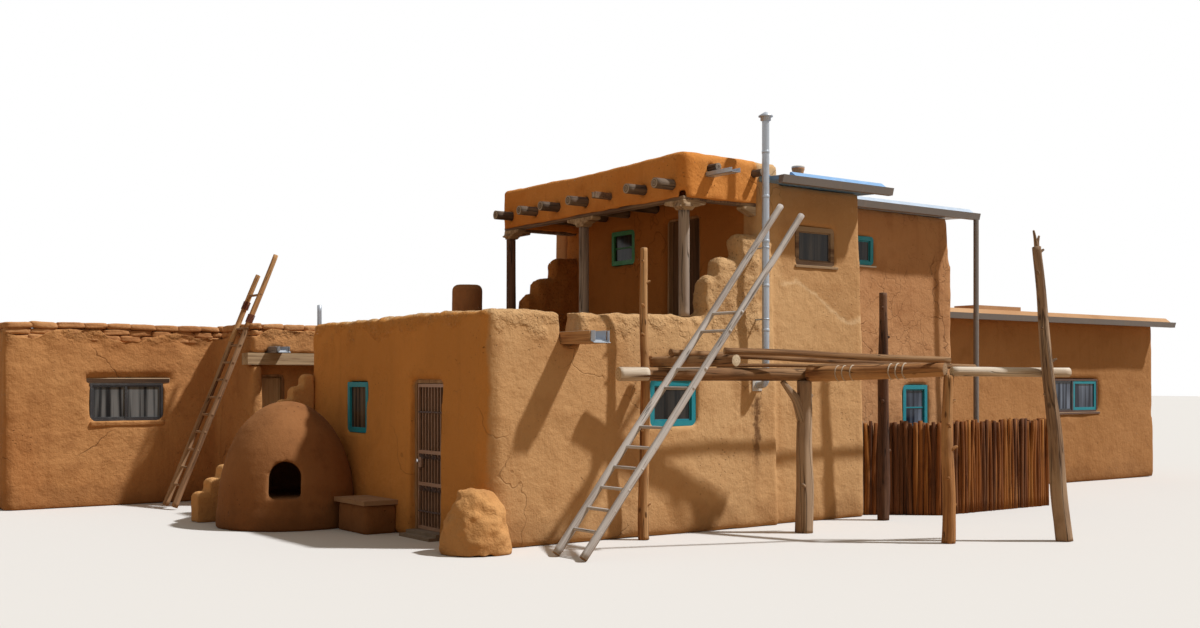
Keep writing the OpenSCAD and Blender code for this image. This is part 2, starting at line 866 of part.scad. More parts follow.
module ground_floors() {
  color(adobe_dark) {
    box(wall_t, room_w, wall_t, inner_y, 0, floor_t);
    linear_extrude(floor_t) hall_plan();
    difference() {
      linear_extrude(floor_t) annex_plan();
      room_mass();
    }
    difference() {
      box(hall_end - wall_t, wing_end - wall_t, wing_back + wall_t, inner_y, 0, floor_t);
      hall_mass();
    }
  }
}

// A shed roof's section, with the turned up sheet above its eave
module roof_section(front, z, back) {
  f = front - eave_out;
  crest = f + apron_h * 1.4;
  polygon([
    [f, roof_under(front, z, f)], [back, roof_under(front, z, back)],
    [back, roof_under(front, z, back) + roof_t],
    [crest + 60, roof_under(front, z, crest + 60) + roof_t],
    [crest + 25, roof_under(front, z, crest) + roof_t + apron_h],
    [crest, roof_under(front, z, crest) + roof_t + apron_h],
    [f, roof_under(front, z, f) + roof_t]]);
}
roof_back = row_d + 60;
module tower_roof() {
  step_y = hall_back - eave_out;
  color(steel) difference() {
    union() {
      along_x(tower_x + wall_t, tower_end) roof_section(tower_back, eave_z, roof_back);
      along_x(tower_end - 1, tower_end + verge_out) roof_section(tower_back, eave_z, step_y);
      along_x(tower_x + gutter_w / 2, tower_x + wall_t + 1) polygon([
        [tower_back - eave_out, roof_under(tower_back, eave_z, tower_back - eave_out)],
        [tower_back + 200, roof_under(tower_back, eave_z, tower_back + 200)],
        [tower_back + 200, roof_under(tower_back, eave_z, tower_back + 200) + roof_t],
        [tower_back - eave_out, roof_under(tower_back, eave_z, tower_back - eave_out) + roof_t]]);
    }
    back_mass();
  }
  color("peru")
    translate([tower_end - vent_in, vent_y, roof_under(tower_back, eave_z, vent_y) + roof_t - 5])
    cylinder(h = vent_h, r = vent_r, $fn = 40);
}
module hall_roof() {
  color(steel)
    along_x(tower_end, hall_end + verge_out) roof_section(hall_back, eave_z, roof_back);
}
module wing_roof() {
  curb_x = wing_end - curb_in;
  curb_y = wing_back + wall_t / 2;
  curb_low = roof_under(wing_back, wing_eave_z, curb_y) + roof_t / 2;
  color("tan") difference() {
    union() {
      along_x(hall_end - wall_t, wing_end + verge_out)
        roof_section(wing_back, wing_eave_z, roof_back);
      box(curb_x, curb_x + curb_w, curb_y, curb_y + curb_d,
        curb_low, curb_low + roof_t / 2 + curb_h);
    }
    hall_mass();
  }
}
module gutter_section(front, z) {
  f = front - eave_out;
  top = roof_under(front, z, f) + roof_t;
  polygon([
    [f, top], [f - gutter_t, top], [f - gutter_t, top - gutter_h + gutter_t],
    [f - gutter_w * 0.72, top - gutter_h + gutter_t],
    [f - gutter_w + gutter_t, top], [f - gutter_w, top],
    [f - gutter_w * 0.75, top - gutter_h], [f, top - gutter_h]]);
}
module gutter_end(front, z) {
  f = front - eave_out;
  top = roof_under(front, z, f) + roof_t;
  polygon([[f, top], [f - gutter_w, top], [f - gutter_w * 0.75, top - gutter_h], [f, top - gutter_h]]);
}
module gutter(x0, x1, front, z) {
  along_x(x0, x1) gutter_section(front, z);
  along_x(x0, x0 + gutter_t) gutter_end(front, z);
  along_x(x1 - gutter_t, x1) gutter_end(front, z);
}
module gutters() {
  spout_y = hall_back - eave_out - gutter_w / 2;
  spout_top = roof_under(hall_back, eave_z, hall_back - eave_out) + roof_t - gutter_h + 2;
  color(steel) {
    gutter(tower_x + gutter_w / 2, tower_end + verge_out, tower_back, eave_z);
    gutter(tower_end + verge_out, hall_end + verge_out, hall_back, eave_z);
    translate([hall_end + verge_out / 2, spout_y, 0]) cylinder(h = spout_top, d = spout_d, $fn = 40);
    gutter(hall_end, wing_end + verge_out, wing_back, wing_eave_z);
  }
}

// The portal on the roof of the front room
module log_hole(x0, x1, y) {
  translate([x0, y, viga_z]) rotate([0, 90, 0]) cylinder(h = x1 - x0, r = viga_r + seat, $fn = 40);
}
drain_y = portal_y + portal_l * drain_share;
drain_z = viga_z - drain_w * 0.4;
module portal_band() {
  ring_top = band_z + band_h;
  color(adobe) difference() {
    translate([0, 0, band_z]) mass(portal_x, room_w, portal_y, portal_end, band_h,
      [true, false, true, true], [corner_r / 2, 0, 0, corner_r / 2]);
    box(band_in_x, room_w + 1, portal_y + band_t, portal_end - band_t, band_z - 1, ring_top + 1);
    beams();
    for (s = viga_share) log_hole(portal_x - 10, room_w + 1, portal_y + portal_l * s);
    box(portal_x - 10, band_in_x + 1, drain_y - drain_w / 2, drain_y + drain_w / 2,
      drain_z, drain_z + drain_w);
    for (x = south_log_x) south_log(x, seat);
    box(metal_x, metal_x + metal_w, portal_y - 10, portal_y + metal_in,
      metal_z, metal_z + metal_h);
  }
}
module portal_roof() {
  color(timber) box(band_in_x, room_w, portal_y + band_t, portal_end - band_t,
    viga_z + viga_r, viga_z + viga_r + portal_roof_t);
}
module vigas() {
  color(timber) {
    for (s = viga_share) translate([portal_x - viga_out, portal_y + portal_l * s, viga_z])
      rotate([0, 90, 0]) cylinder(h = room_w - portal_x + viga_out, r = viga_r, $fn = 40);
    for (x = south_log_x) south_log(x, 0);
  }
}

// The two log ends in the portal's south face
south_log_x = [portal_x + portal_w * 0.36, tower_x - south_viga_r * 1.2];
south_log_in = 120;
south_log_out = 160;
module south_log(x, gap) {
  translate([x, portal_y + south_log_in, south_viga_z]) rotate([90, 0, 0])
    cylinder(h = south_log_in + south_log_out, r = south_viga_r + gap, $fn = 40);
}

// The beams let into the band, the posts and the carved corbels between them
beam_x = portal_x + beam_in;
beam_s = portal_y + beam_in;
beam_n = portal_end - beam_in - beam_w;
corbel_z = beam_z - corbel_h;
post_x = beam_x + beam_w / 2;
post_s = beam_s + beam_w / 2;
post_n = beam_n + beam_w / 2;
post_m = portal_y + post_mid;
module beams() {
  box(beam_x, beam_x + beam_w, beam_s, beam_n + beam_w, beam_z, beam_top);
  box(beam_x + beam_w, room_w, beam_s, beam_s + beam_w, beam_z, beam_top);
  box(beam_x + beam_w, room_w, beam_n, beam_n + beam_w, beam_z, beam_top);
}
module portal_beams() {
  color(timber) beams();
}
module portal_posts() {
  color(timber) {
    translate([post_x, post_s, parapet_h])
      cylinder(h = corbel_z - parapet_h, r = post_d / 2, $fn = 40);
    for (y = [post_m, post_n]) translate([post_x, y, deck_z])
      cylinder(h = corbel_z - deck_z, r = post_d / 2, $fn = 40);
  }
}

// A corbel's stepped and scalloped side, long side up, arms of two lengths
module corbel_side(a, b) {
  bead = corbel_h / 3;
  base = post_d / 2 + 5;
  difference() {
    polygon([
      [-a, corbel_h], [-a, corbel_h - bead], [-base - bead, bead], [-base, 0],
      [base, 0], [base + bead, bead], [b, corbel_h - bead], [b, corbel_h]]);
    for (t = [0.3, 0.65]) {
      translate([-base - (a - base) * t, corbel_h * 0.6 * t]) circle(r = bead * 0.55, $fn = 24);
      translate([base + (b - base) * t, corbel_h * 0.6 * t]) circle(r = bead * 0.55, $fn = 24);
    }
  }
}
module corbel_south(y, a, b) {
  translate([post_x, 0, corbel_z]) along_x(-beam_w / 2, beam_w / 2)
    translate([y, 0]) corbel_side(a, b);
}
module corbel_west(y, a, b) {
  translate([post_x, 0, corbel_z]) along_y(y - beam_w / 2, y + beam_w / 2) corbel_side(a, b);
}
module portal_corbels() {
  short = beam_w / 2;
  color(timber) {
    corbel_south(post_s, short, corbel_l);
    corbel_west(post_s, short, corbel_l);
    corbel_south(post_m, corbel_l, corbel_l);
    corbel_south(post_n, corbel_l, short);
    corbel_west(post_n, short, corbel_l);
    along_y(beam_s, beam_s + beam_w) polygon([
      [room_w, beam_z], [room_w - corbel_l * 0.7, beam_z],
      [room_w - corbel_l * 0.7, beam_z - corbel_h / 3], [room_w, corbel_z]]);
  }
}
module stepped_wall_north() {
  color(adobe) translate([0, 0, deck_z]) for (i = [0:len(step_x) - 1])
    mass(step_x[i], room_w, portal_end - step_wall_t, portal_end, step_z[i] - deck_z,
      [true, false, true, true], [cap_r, 0, 0, cap_r], step_cap);
}

// The troughs that drain the flat roofs, and the one in the portal's band
metal_x = portal_x + 410;
metal_w = 150;
metal_h = 60;
metal_z = band_z + band_h / 2 - 5;
metal_in = 130;
metal_out = 520;
module trough(w, l, h, t) {
  difference() {
    box(0, w, -l, 0, 0, h);
    box(t, w - t, -l - 1, 1, t, h + 1);
  }
}
module canales() {
  color(pale_wood) {
    translate([canale_x, wall_t, deck_z - canale_t])
      trough(canale_w, canale_out + wall_t, canale_h, canale_t);
    translate([annex_canale_x, annex_in_y, nook_h + board_h])
      trough(annex_canale_w, annex_canale_out + annex_in_y - annex_y, annex_canale_h, canale_t);
    difference() {
      box(portal_x - viga_out * 0.9, band_in_x, drain_y - drain_w / 2, drain_y + drain_w / 2,
        drain_z, drain_z + drain_w);
      box(portal_x - viga_out, band_in_x + 1, drain_y - drain_w / 4, drain_y + drain_w / 4,
        drain_z + drain_w / 2, drain_z + drain_w + 1);
    }
  }
  color(steel) translate([metal_x, portal_y + metal_in, metal_z])
    trough(metal_w, metal_in + metal_out, metal_h, gutter_t / 2);
}

// The bread oven: a dome with a round-topped mouth, built against the wall
function dome_side(r, h, low, n) = [for (i = [0:n])
  let (z = h * sin(90 * i / n)) [r * pow(max(0, 1 - pow(z / h, 2.4)), 0.5), low + z]];
module dome(r, h, low) {
  rotate_extrude($fn = 72) polygon(concat([[0, low]], dome_side(r, h, low, 14)));
}
module oven() {
  color(adobe_dark) difference() {
    translate([-oven_x, oven_y, 0]) difference() {
      dome(oven_r, oven_h, 0);
      dome(oven_r - oven_t, oven_h - oven_t - oven_sill, oven_sill);
      rotate([0, 0, -mouth_turn]) {
        box(-mouth_w / 2, mouth_w / 2, -oven_r - 1, 0, oven_sill, oven_sill + mouth_h - mouth_w / 2);
        translate([0, 0, oven_sill + mouth_h - mouth_w / 2]) rotate([90, 0, 0])
          cylinder(h = oven_r + 1, r = mouth_w / 2, $fn = 40);
      }
    }
    room_mass();
    buttress_mass();
  }
}

// The stair-like buttress behind the oven and the mound at the front corner
module buttress_mass() {
  for (i = [0:buttress_n - 1])
    mass(-buttress_run * (buttress_n - i), wall_t / 2, row_d - buttress_t, row_d,
      buttress_z + buttress_rise * i, [true, false, true, true], [0, 0, 0, 0], cap_r * 0.8);
}
module mound_side() {
  polygon(concat([[0, 0]], [for (i = [0:12])
    [mound_r * pow(cos(7.5 * i), 0.9), mound_h * sin(7.5 * i)]]));
}
module buttresses() {
  color(adobe) difference() {
    union() {
      buttress_mass();
      translate([-mound_x, -mound_y, 0]) rotate_extrude($fn = 60) mound_side();
    }
    room_mass();
  }
}
module bench() {
  color(adobe) difference() {
    mass(-bench_d, wall_t / 2, bench_y, bench_y + bench_l, bench_h,
      [true, false, true, true], [cap_r, 0, 0, cap_r], cap_r / 4);
    room_mass();
  }
}
module bench_slab() {
  color("gray") difference() {
    box(-bench_d - slab_out, wall_t / 2, bench_y - slab_out, bench_y + bench_l + slab_out,
      bench_h, bench_h + slab_t);
    room_mass();
  }
}

// The adobe chimney and the metal pipes
module chimney() {
  color(adobe) difference() {
    translate([chimney_x, inner_y + chimney_r / 2, deck_z]) rotate_extrude($fn = 60)
      polygon(concat(
        [[0, 0], [chimney_r, 0]],
        arc([chimney_r - cap_r, chimney_z - deck_z - cap_r], cap_r, 0, 90, round_n),
        [[flue_r, chimney_z - deck_z], [flue_r, chimney_z - deck_z - chimney_r * 2],
         [0, chimney_z - deck_z - chimney_r * 2]]));
    slice(-1, room_w, inner_y, row_d + 1) room_mass();
  }
}
module stovepipe() {
  pipe_x = tower_x - pipe_in;
  hat_r = pipe_d * 0.75;
  strap = 20;
  color(steel) {
    difference() {
      union() {
        translate([pipe_x, -pipe_out, pipe_z]) cylinder(h = pipe_top - pipe_z, r = pipe_d / 2, $fn = 40);
        translate([pipe_x, -pipe_out, pipe_z]) sphere(r = pipe_d / 2, $fn = 40);
        translate([pipe_x, wall_t / 2, pipe_z]) rotate([90, 0, 0])
          cylinder(h = pipe_out + wall_t / 2, r = pipe_d / 2, $fn = 40);
        translate([pipe_x, wall_t / 2, pipe_z]) rotate([90, 0, 0])
          cylinder(h = wall_t / 2 - lean(pipe_z) + 14, r = pipe_d * 0.8, $fn = 40);
        translate([pipe_x, -pipe_out, pipe_top - hat_r]) cylinder(h = hat_r, r = hat_r, $fn = 40);
        for (z = [parapet_h, step_top_z - cap_r * 2])
          box(pipe_x - strap / 2, pipe_x + strap / 2, -pipe_out, wall_t / 2, z - strap, z);
      }
      slice(-1, room_w + lap_w + 1, -1, wall_t) room_mass();
      step_mass();
    }
    translate([annex_in_x + vent_pipe_x, left_y - wall_t, deck_z])
      cylinder(h = vent_pipe_h, r = vent_pipe_r, $fn = 40);
  }
}

// Window frames and glass
west_frame_x = frame_at(0, west_win_z);
south_frame_y = frame_at(0, south_win_z);
tower_frame_y = frame_at(tower_back, tower_win_z);
hall_frame_y = frame_at(hall_back, hall_win_z);
hall_low_y = frame_at(hall_back, hall_low_z);
wing_frame_y = frame_at(wing_back, wing_win_z);
left_frame_y = frame_at(left_y, left_win_z);
green_frame_x = room_w + frame_recess;
module blue_window_frames() {
  color(turquoise) {
    west_frame(west_win_y, west_win_z, west_win_w, west_win_h, west_frame_x);
    south_frame(south_win_x, south_win_z, south_win_w, south_win_h, south_frame_y);
    south_frame(hall_low_x, hall_low_z, hall_win_w, hall_low_h, hall_low_y);
    south_frame(hall_win_x, hall_win_z, hall_win_w, hall_win_h, hall_frame_y);
  }
}
module green_window_frame() {
  color("seagreen")
    west_frame(green_win_y, green_win_z, green_win_w, green_win_h, green_frame_x);
}
module tower_window_frame() {
  color(timber) south_frame(tower_win_x, tower_win_z, tower_win_w, tower_win_h, tower_frame_y);
}
module wing_window_frame() {
  color("sienna")
    south_frame(wing_win_x, wing_win_z, wing_win_w, wing_win_h, wing_frame_y, frame_w / 2);
}
module left_window_frame() {
  color("silver")
    south_frame(left_x + left_win_x, left_win_z, left_win_w, left_win_h, left_frame_y, frame_w / 2);
}
module window_glass() {
  color("slategray") {
    west_pane(west_win_y, west_win_z, west_win_w, west_win_h, west_frame_x);
    south_pane(south_win_x, south_win_z, south_win_w, south_win_h, south_frame_y);
    south_pane(hall_low_x, hall_low_z, hall_win_w, hall_low_h, hall_low_y);
    west_pane(green_win_y, green_win_z, green_win_w, green_win_h, green_frame_x);
    south_pane(tower_win_x, tower_win_z, tower_win_w, tower_win_h, tower_frame_y);
    south_pane(hall_win_x, hall_win_z, hall_win_w, hall_win_h, hall_frame_y);
    south_pane(wing_win_x, wing_win_z, wing_win_w, wing_win_h, wing_frame_y, frame_w / 2);
    south_pane(left_x + left_win_x, left_win_z, left_win_w, left_win_h, left_frame_y, frame_w / 2);
  }
}

// Doors, their frames and their thresholds
post_x0 = door_recess - 15;
jamb_s = west_door_y + door_post_w;
jamb_n = west_door_y + west_door_w - door_post_w;
head_z = west_door_h - door_post_w;
leaf_s = jamb_s + door_gap;
leaf_n = jamb_n - door_gap;
leaf_low = threshold_h + door_gap;
leaf_high = head_z - door_gap;
annex_jamb_w = annex_door_x + door_post_w;
annex_jamb_e = annex_door_x + annex_door_w - door_post_w;
annex_post_y = nook_y + 30;
annex_leaf_y = annex_post_y + door_post_d - leaf_t - 20;
annex_head_z = annex_door_h - door_post_w;
upper_jamb_s = upper_door_y + door_post_w;
upper_jamb_n = upper_door_y + upper_door_w - door_post_w;
upper_post_x = room_w + 60;
upper_head_z = deck_z + upper_door_h - door_post_w;
inner_leaf_x = post_x0 + door_post_d - leaf_t - 20;

// Hinges: a knuckle on the frame carries the one on the leaf above it
hinge_r = door_gap - 0.5;
hinge_off = hinge_r + 2.5;
hinge_z = [leaf_low + 250, leaf_high - 350];
module knuckle(z) {
  translate([0, 0, z]) cylinder(h = hinge_l, r = hinge_r, $fn = 24);
}
module frame_hinges() {
  for (z = hinge_z) {
    knuckle(z - hinge_l);
    box(-hinge_r, hinge_r, -door_gap, 0, z - hinge_l, z);
  }
}
module leaf_hinges(side) {
  for (z = hinge_z) {
    knuckle(z);
    box(min(0, side * hinge_off), max(0, side * hinge_off), 0, hinge_r, z, z + hinge_l);
  }
}
module at_barred_hinge() {
  translate([door_recess - hinge_off, leaf_s, 0]) children();
}
module at_inner_hinge() {
  translate([inner_leaf_x + leaf_t + hinge_off, leaf_s, 0]) children();
}
module at_annex_hinge() {
  translate([annex_jamb_w + door_gap, annex_leaf_y + leaf_t + hinge_off, 0])
    rotate([0, 0, -90]) children();
}
module door_frames() {
  color(pale_wood) {
    difference() {
      box(post_x0, post_x0 + door_post_d, west_door_y, west_door_y + west_door_w,
        threshold_h, west_door_h);
      box(post_x0 - 1, post_x0 + door_post_d + 1, jamb_s, jamb_n, threshold_h - 1, head_z);
    }
    difference() {
      box(annex_door_x, annex_door_x + annex_door_w, annex_post_y, annex_post_y + door_post_d,
        threshold_h, annex_door_h);
      box(annex_jamb_w, annex_jamb_e, annex_post_y - 1, annex_post_y + door_post_d + 1,
        threshold_h - 1, annex_head_z);
    }
    difference() {
      box(upper_post_x, upper_post_x + door_post_d, upper_door_y, upper_door_y + upper_door_w,
        deck_z, deck_z + upper_door_h);
      box(upper_post_x - 1, upper_post_x + door_post_d + 1, upper_jamb_s, upper_jamb_n,
        deck_z - 1, upper_head_z);
    }
    at_barred_hinge() frame_hinges();
    at_inner_hinge() frame_hinges();
    at_annex_hinge() frame_hinges();
  }
}
module thresholds() {
  color("gray") {
    box(-30, wall_t, west_door_y, west_door_y + west_door_w, 0, threshold_h);
    box(-130, -30, west_door_y, west_door_y + west_door_w, 0, threshold_h / 2);
    box(annex_door_x, annex_door_x + annex_door_w, nook_y, annex_in_y, 0, threshold_h);
  }
}
module nook_board() {
  color(pale_wood) difference() {
    box(-annex_left - 40, alcove_w + wall_t, annex_y + lean(nook_h) - 15, nook_y,
      nook_h, nook_h + board_h);
    link_mass();
  }
}
module barred_door() {
  rail = 45;
  pitch = (leaf_n - leaf_s - 2 * bar_frame_t) / (bar_count + 1);
  color("rosybrown") {
    difference() {
      box(door_recess, door_recess + bar_frame_t, leaf_s, leaf_n, leaf_low, leaf_high);
      box(door_recess - 1, door_recess + bar_frame_t + 1, leaf_s + bar_frame_t,
        leaf_n - bar_frame_t, leaf_low + rail, leaf_high - rail);
    }
    for (z = [0.3, 0.52]) box(door_recess, door_recess + bar_frame_t, leaf_s + 1, leaf_n - 1,
      leaf_low + (leaf_high - leaf_low) * z, leaf_low + (leaf_high - leaf_low) * z + rail);
    for (i = [1:bar_count])
      box(door_recess + bar_t / 2, door_recess + bar_t * 1.5,
        leaf_s + bar_frame_t + pitch * i - bar_t / 2, leaf_s + bar_frame_t + pitch * i + bar_t / 2,
        leaf_low + 1, leaf_high - 1);
    at_barred_hinge() leaf_hinges(1);
  }
}
module inner_door() {
  color(timber) {
    box(inner_leaf_x, inner_leaf_x + leaf_t, leaf_s, leaf_n, leaf_low, leaf_high);
    at_inner_hinge() leaf_hinges(-1);
  }
}
module annex_door() {
  color(pale_wood) {
    box(annex_jamb_w + door_gap, annex_jamb_e - door_gap,
      annex_leaf_y, annex_leaf_y + leaf_t, leaf_low, annex_head_z - door_gap);
    at_annex_hinge() leaf_hinges(1);
  }
}
module upper_door() {
  color(timber) box(upper_post_x + door_post_d - leaf_t, upper_post_x + door_post_d,
    upper_jamb_s, upper_jamb_n, deck_z, upper_head_z);
}

// A ladder leaning east: foot, slope, the two rails' places and tops, and rungs left out
module ladder(foot, tilt, y_a, y_b, top_a, top_b, rungs, gone) {
  reach = cos(tilt) / sin(tilt);
  color("silver") intersection() {
    union() {
      log_between([foot - reach * 100, y_a, -100], [foot + reach * top_a, y_a, top_a],
        rail_r, rail_r);
      log_between([foot - reach * 100, y_b, -100], [foot + reach * top_b, y_b, top_b],
        rail_r, rail_r);
      for (i = [1:rungs]) if (len([for (g = gone) if (g == i) g]) == 0) {
        s = rung_step * i + 100;
        translate([foot + s * cos(tilt), min(y_a, y_b) - rail_r, s * sin(tilt)]) rotate([-90, 0, 0])
          cylinder(h = abs(y_b - y_a) + 2 * rail_r, r = rung_r, $fn = 24);
      }
    }
    box(foot - 500, foot + 8000, min(y_a, y_b) - 500, max(y_a, y_b) + 500, 0, ladder_top + 500);
  }
}
cross_z = rack_z + rack_beam_r + cross_r;
ladder_far = rail_r + cross_r + seat;
ladder_foot = cross_x - ladder_far * sin(ladder_tilt)
  - (cross_z + ladder_far * cos(ladder_tilt)) * cos(ladder_tilt) / sin(ladder_tilt);
module front_ladder() {
  ladder(ladder_foot, ladder_tilt, -ladder_y, -ladder_y - ladder_w,
    ladder_top, ladder_top - ladder_drop, 12, [7, 10]);
}
annex_far = cap_r + rail_r + seat;
annex_lean_x = -annex_left + lean(annex_h - cap_r) + cap_r - annex_far * sin(annex_tilt);
annex_lean_z = annex_h - cap_r + annex_far * cos(annex_tilt);
annex_foot = annex_lean_x - annex_lean_z * cos(annex_tilt) / sin(annex_tilt);
module annex_ladder() {
  ladder(annex_foot, annex_tilt, nook_y - 100, nook_y - 100 + annex_ladder_w,
    annex_ladder_top, annex_ladder_top - annex_ladder_drop, 12, [11]);
}

// The drying rack: its beams and poles lie on the posts and on each other
beam_from = [rack_x, -beam_near, rack_z];
beam_to = [beam_end_x, -beam_far, rack_z];
fork = [fork_x, -fork_y, 0];
spar_from = [fork_x + post_b_r / 6, -fork_y - post_b_r * 0.42, rack_z];
spar_to = [post_d_x - post_d_r / 5, -post_d_y + post_d_r / 2, rack_z + spar_rise];
pale_from = [post_d_x + post_d_r / 2, -post_d_y - post_d_r / 4, rack_z + pale_r / 2];
pale_to = [post_e_x + post_e_r * 2, -post_e_y + post_e_r * 0.7, rack_z + pale_r / 3];
module front_beam(gap = 0) {
  log_between(beam_from, beam_to, rack_beam_r + gap, rack_beam_r + gap);
}
module spar(gap = 0) {
  log_between(spar_from, spar_to, rack_beam_r + gap, rack_beam_r + gap);
}
module pale_beam(gap = 0) {
  log_between(pale_from, pale_to, pale_r + gap, pale_r + gap);
}

// How high a log's middle lies over the middle of the one that carries it: u and v
// are their directions, r is the sum of their radii
function rest(u, v, r) = [0, 0, (r + seat) * norm(cross(u, v)) / abs(cross(u, v)[2])];
function flat(v) = [v[0], v[1], 0];

// The long pole from the cross pole to beside the tower
pole_from = [cross_x, -pole_y, cross_z];
pole_to = [pole_end_x, -pole_end_y, cross_z];
pole_run = flat(pole_to - pole_from);
pole_a = pole_from + rest(pole_run, [0, 1, 0], cross_r + pole_r);
pole_b = [pole_end_x, -pole_end_y, rack_z + rack_beam_r + pole_r];
function pole_side(x) = -pole_y + (pole_y - pole_end_y) * (x - cross_x) / (pole_end_x - cross_x);

module rack_posts() {
  beam_run = beam_to - beam_from;
  a_y = beam_from[1] + post_a_x * beam_run[1] / beam_run[0]
    + (rack_beam_r + post_a_r + seat) * norm(beam_run) / beam_run[0];
  c_y = pole_side(post_c_x) + (pole_r + post_c_r + seat) * norm(pole_run) / pole_run[0];
  arm = post_b_r * 0.6;
  color("saddlebrown") {
    translate([rack_x + post_a_x, a_y, 0]) cylinder(h = post_a_h, r = post_a_r, $fn = 40);
    difference() {
      union() {
        log_between(fork, fork + [0, 0, rack_z - arm], post_b_r, post_b_r * 0.9);
        log_between(fork + [0, 0, rack_z - arm * 7],
          fork + [-post_b_r * 2.25, post_b_r * 0.8, rack_z - arm * 0.7], arm, arm * 0.8);
      }
      front_beam(seat);
      spar(seat);
    }
    translate([post_c_x, c_y, 0]) cylinder(h = post_c_h, r = post_c_r, $fn = 40);
    difference() {
      translate([post_d_x, -post_d_y, 0]) cylinder(h = rack_z - post_d_r / 5, r = post_d_r, $fn = 40);
      spar(seat);
      pale_beam(seat);
    }
    difference() {
      log_between(post_e_foot - (post_e_top - post_e_foot) * 0.03, post_e_top,
        post_e_r, post_e_r * 0.55);
      pale_beam(seat);
      translate(post_e_foot - post_e_r * [2, 2, 4]) cube(post_e_r * 4);
    }
  }
}
module rack_beams() {
  color("burlywood") {
    front_beam();
    difference() {
      spar();
      front_beam(seat);
    }
    pale_beam();
    translate([cross_x, -cross_y, cross_z]) rotate([90, 0, 0])
      cylinder(h = cross_l, r = cross_r, $fn = 40);
  }
}

// A log between two points that reaches some way past both
module log_past(a, b, past_a, past_b, r) {
  u = (b - a) / norm(b - a);
  log_between(a - u * past_a, b + u * past_b, r, r);
}
module rack_poles() {
  beam_run = beam_to - beam_from;
  spar_run = spar_to - spar_from;
  low_a = [cross_x, pole_past - cross_y - cross_l + pole_r, cross_z];
  low_b = spar_from + spar_run * 0.928;
  low_run = flat(low_b - low_a);
  stick_a = beam_from + beam_run * 0.498;
  stick_b = spar_from + spar_run * 0.112;
  stick_run = flat(stick_b - stick_a);
  color("silver") {
    log_past(pole_a, pole_b, pole_past, 0, pole_r);
    log_past(low_a + rest(low_run, [0, 1, 0], cross_r + pole_r),
      low_b + rest(low_run, spar_run, rack_beam_r + pole_r), pole_past, pole_past * 3, pole_r);
    log_past(stick_a + rest(stick_run, beam_run, rack_beam_r + stick_r),
      stick_b + rest(stick_run, spar_run, rack_beam_r + stick_r), pole_past * 1.5,
      pole_past * 17, stick_r);
  }
}

// The fence of upright stakes
module fence_run(a, b) {
  v = b - a;
  translate(a) rotate(atan2(v[1], v[0]))
    translate([-fence_t / 2, -fence_t / 2]) square([norm(v) + fence_t, fence_t]);
}
module stake_fence() {
  start = tower_end + fence_x;
  p = [
    [tower_end - fence_t / 2, knee_y * 3.5], [tower_end + knee_x, knee_y], [start, -fence_y],
    [start + fence_l, knee_y - fence_y * 1.14], [start + fence_l - knee_y * 0.4, return_l - knee_y * 4]];
  color("brown") difference() {
    linear_extrude(fence_h) for (i = [0:3]) fence_run(p[i], p[i + 1]);
    tower_mass();
  }
}

translate([-centre_x, -centre_y, 0]) {
  front_wall();
  west_wall_south();
  west_wall_north();
  west_wall_lintel();
  north_wall();
  portal_back_wall();
  tower_front_wall();
  tower_side_wall();
  hall_front_wall();
  hall_east_wall();
  rear_wall();
  wing_front_wall();
  wing_back_walls();
  annex_front_left();
  annex_front_right();
  annex_front_top();
  annex_west_wall();
  annex_back_walls();
  alcove_wall();
  left_front_wall();
  decks();
  ground_floors();
  tower_roof();
  hall_roof();
  wing_roof();
  gutters();
  portal_band();
  portal_roof();
  portal_beams();
  portal_posts();
  portal_corbels();
  vigas();
  stepped_wall_north();
  canales();
  oven();
  buttresses();
  bench();
  bench_slab();
  chimney();
  stovepipe();
  blue_window_frames();
  green_window_frame();
  tower_window_frame();
  wing_window_frame();
  left_window_frame();
  window_glass();
  door_frames();
  thresholds();
  nook_board();
  barred_door();
  inner_door();
  annex_door();
  upper_door();
  front_ladder();
  annex_ladder();
  rack_posts();
  rack_beams();
  rack_poles();
  stake_fence();
}
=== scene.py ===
import math
import bmesh
import bpy
import numpy as np
from mathutils import Matrix, Vector


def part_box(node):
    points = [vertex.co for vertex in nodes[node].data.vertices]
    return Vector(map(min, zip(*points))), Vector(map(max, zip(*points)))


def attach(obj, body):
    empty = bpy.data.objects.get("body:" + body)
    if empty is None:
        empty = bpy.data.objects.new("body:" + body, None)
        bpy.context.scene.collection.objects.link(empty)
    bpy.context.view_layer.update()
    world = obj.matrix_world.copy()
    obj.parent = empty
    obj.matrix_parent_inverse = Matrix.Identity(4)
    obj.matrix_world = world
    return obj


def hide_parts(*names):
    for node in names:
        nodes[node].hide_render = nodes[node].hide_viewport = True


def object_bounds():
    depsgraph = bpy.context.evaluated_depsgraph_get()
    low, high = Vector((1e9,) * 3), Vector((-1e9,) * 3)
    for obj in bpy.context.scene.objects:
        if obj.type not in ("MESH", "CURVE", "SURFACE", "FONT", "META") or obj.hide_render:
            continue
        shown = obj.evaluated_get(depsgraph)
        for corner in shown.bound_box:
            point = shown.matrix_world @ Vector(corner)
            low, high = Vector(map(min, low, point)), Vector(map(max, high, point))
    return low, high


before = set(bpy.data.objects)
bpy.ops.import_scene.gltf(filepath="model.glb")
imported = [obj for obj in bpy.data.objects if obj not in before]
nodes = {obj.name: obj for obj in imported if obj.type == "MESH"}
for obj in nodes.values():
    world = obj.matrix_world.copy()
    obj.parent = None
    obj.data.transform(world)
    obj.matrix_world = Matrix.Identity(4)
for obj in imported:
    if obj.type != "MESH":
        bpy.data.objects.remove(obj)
cad_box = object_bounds()
low, high = Vector(cad_box[0]), Vector(cad_box[1])

# The south-west corner of the front room at the ground, from which places are counted
corner = Vector(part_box("front_wall")[0])


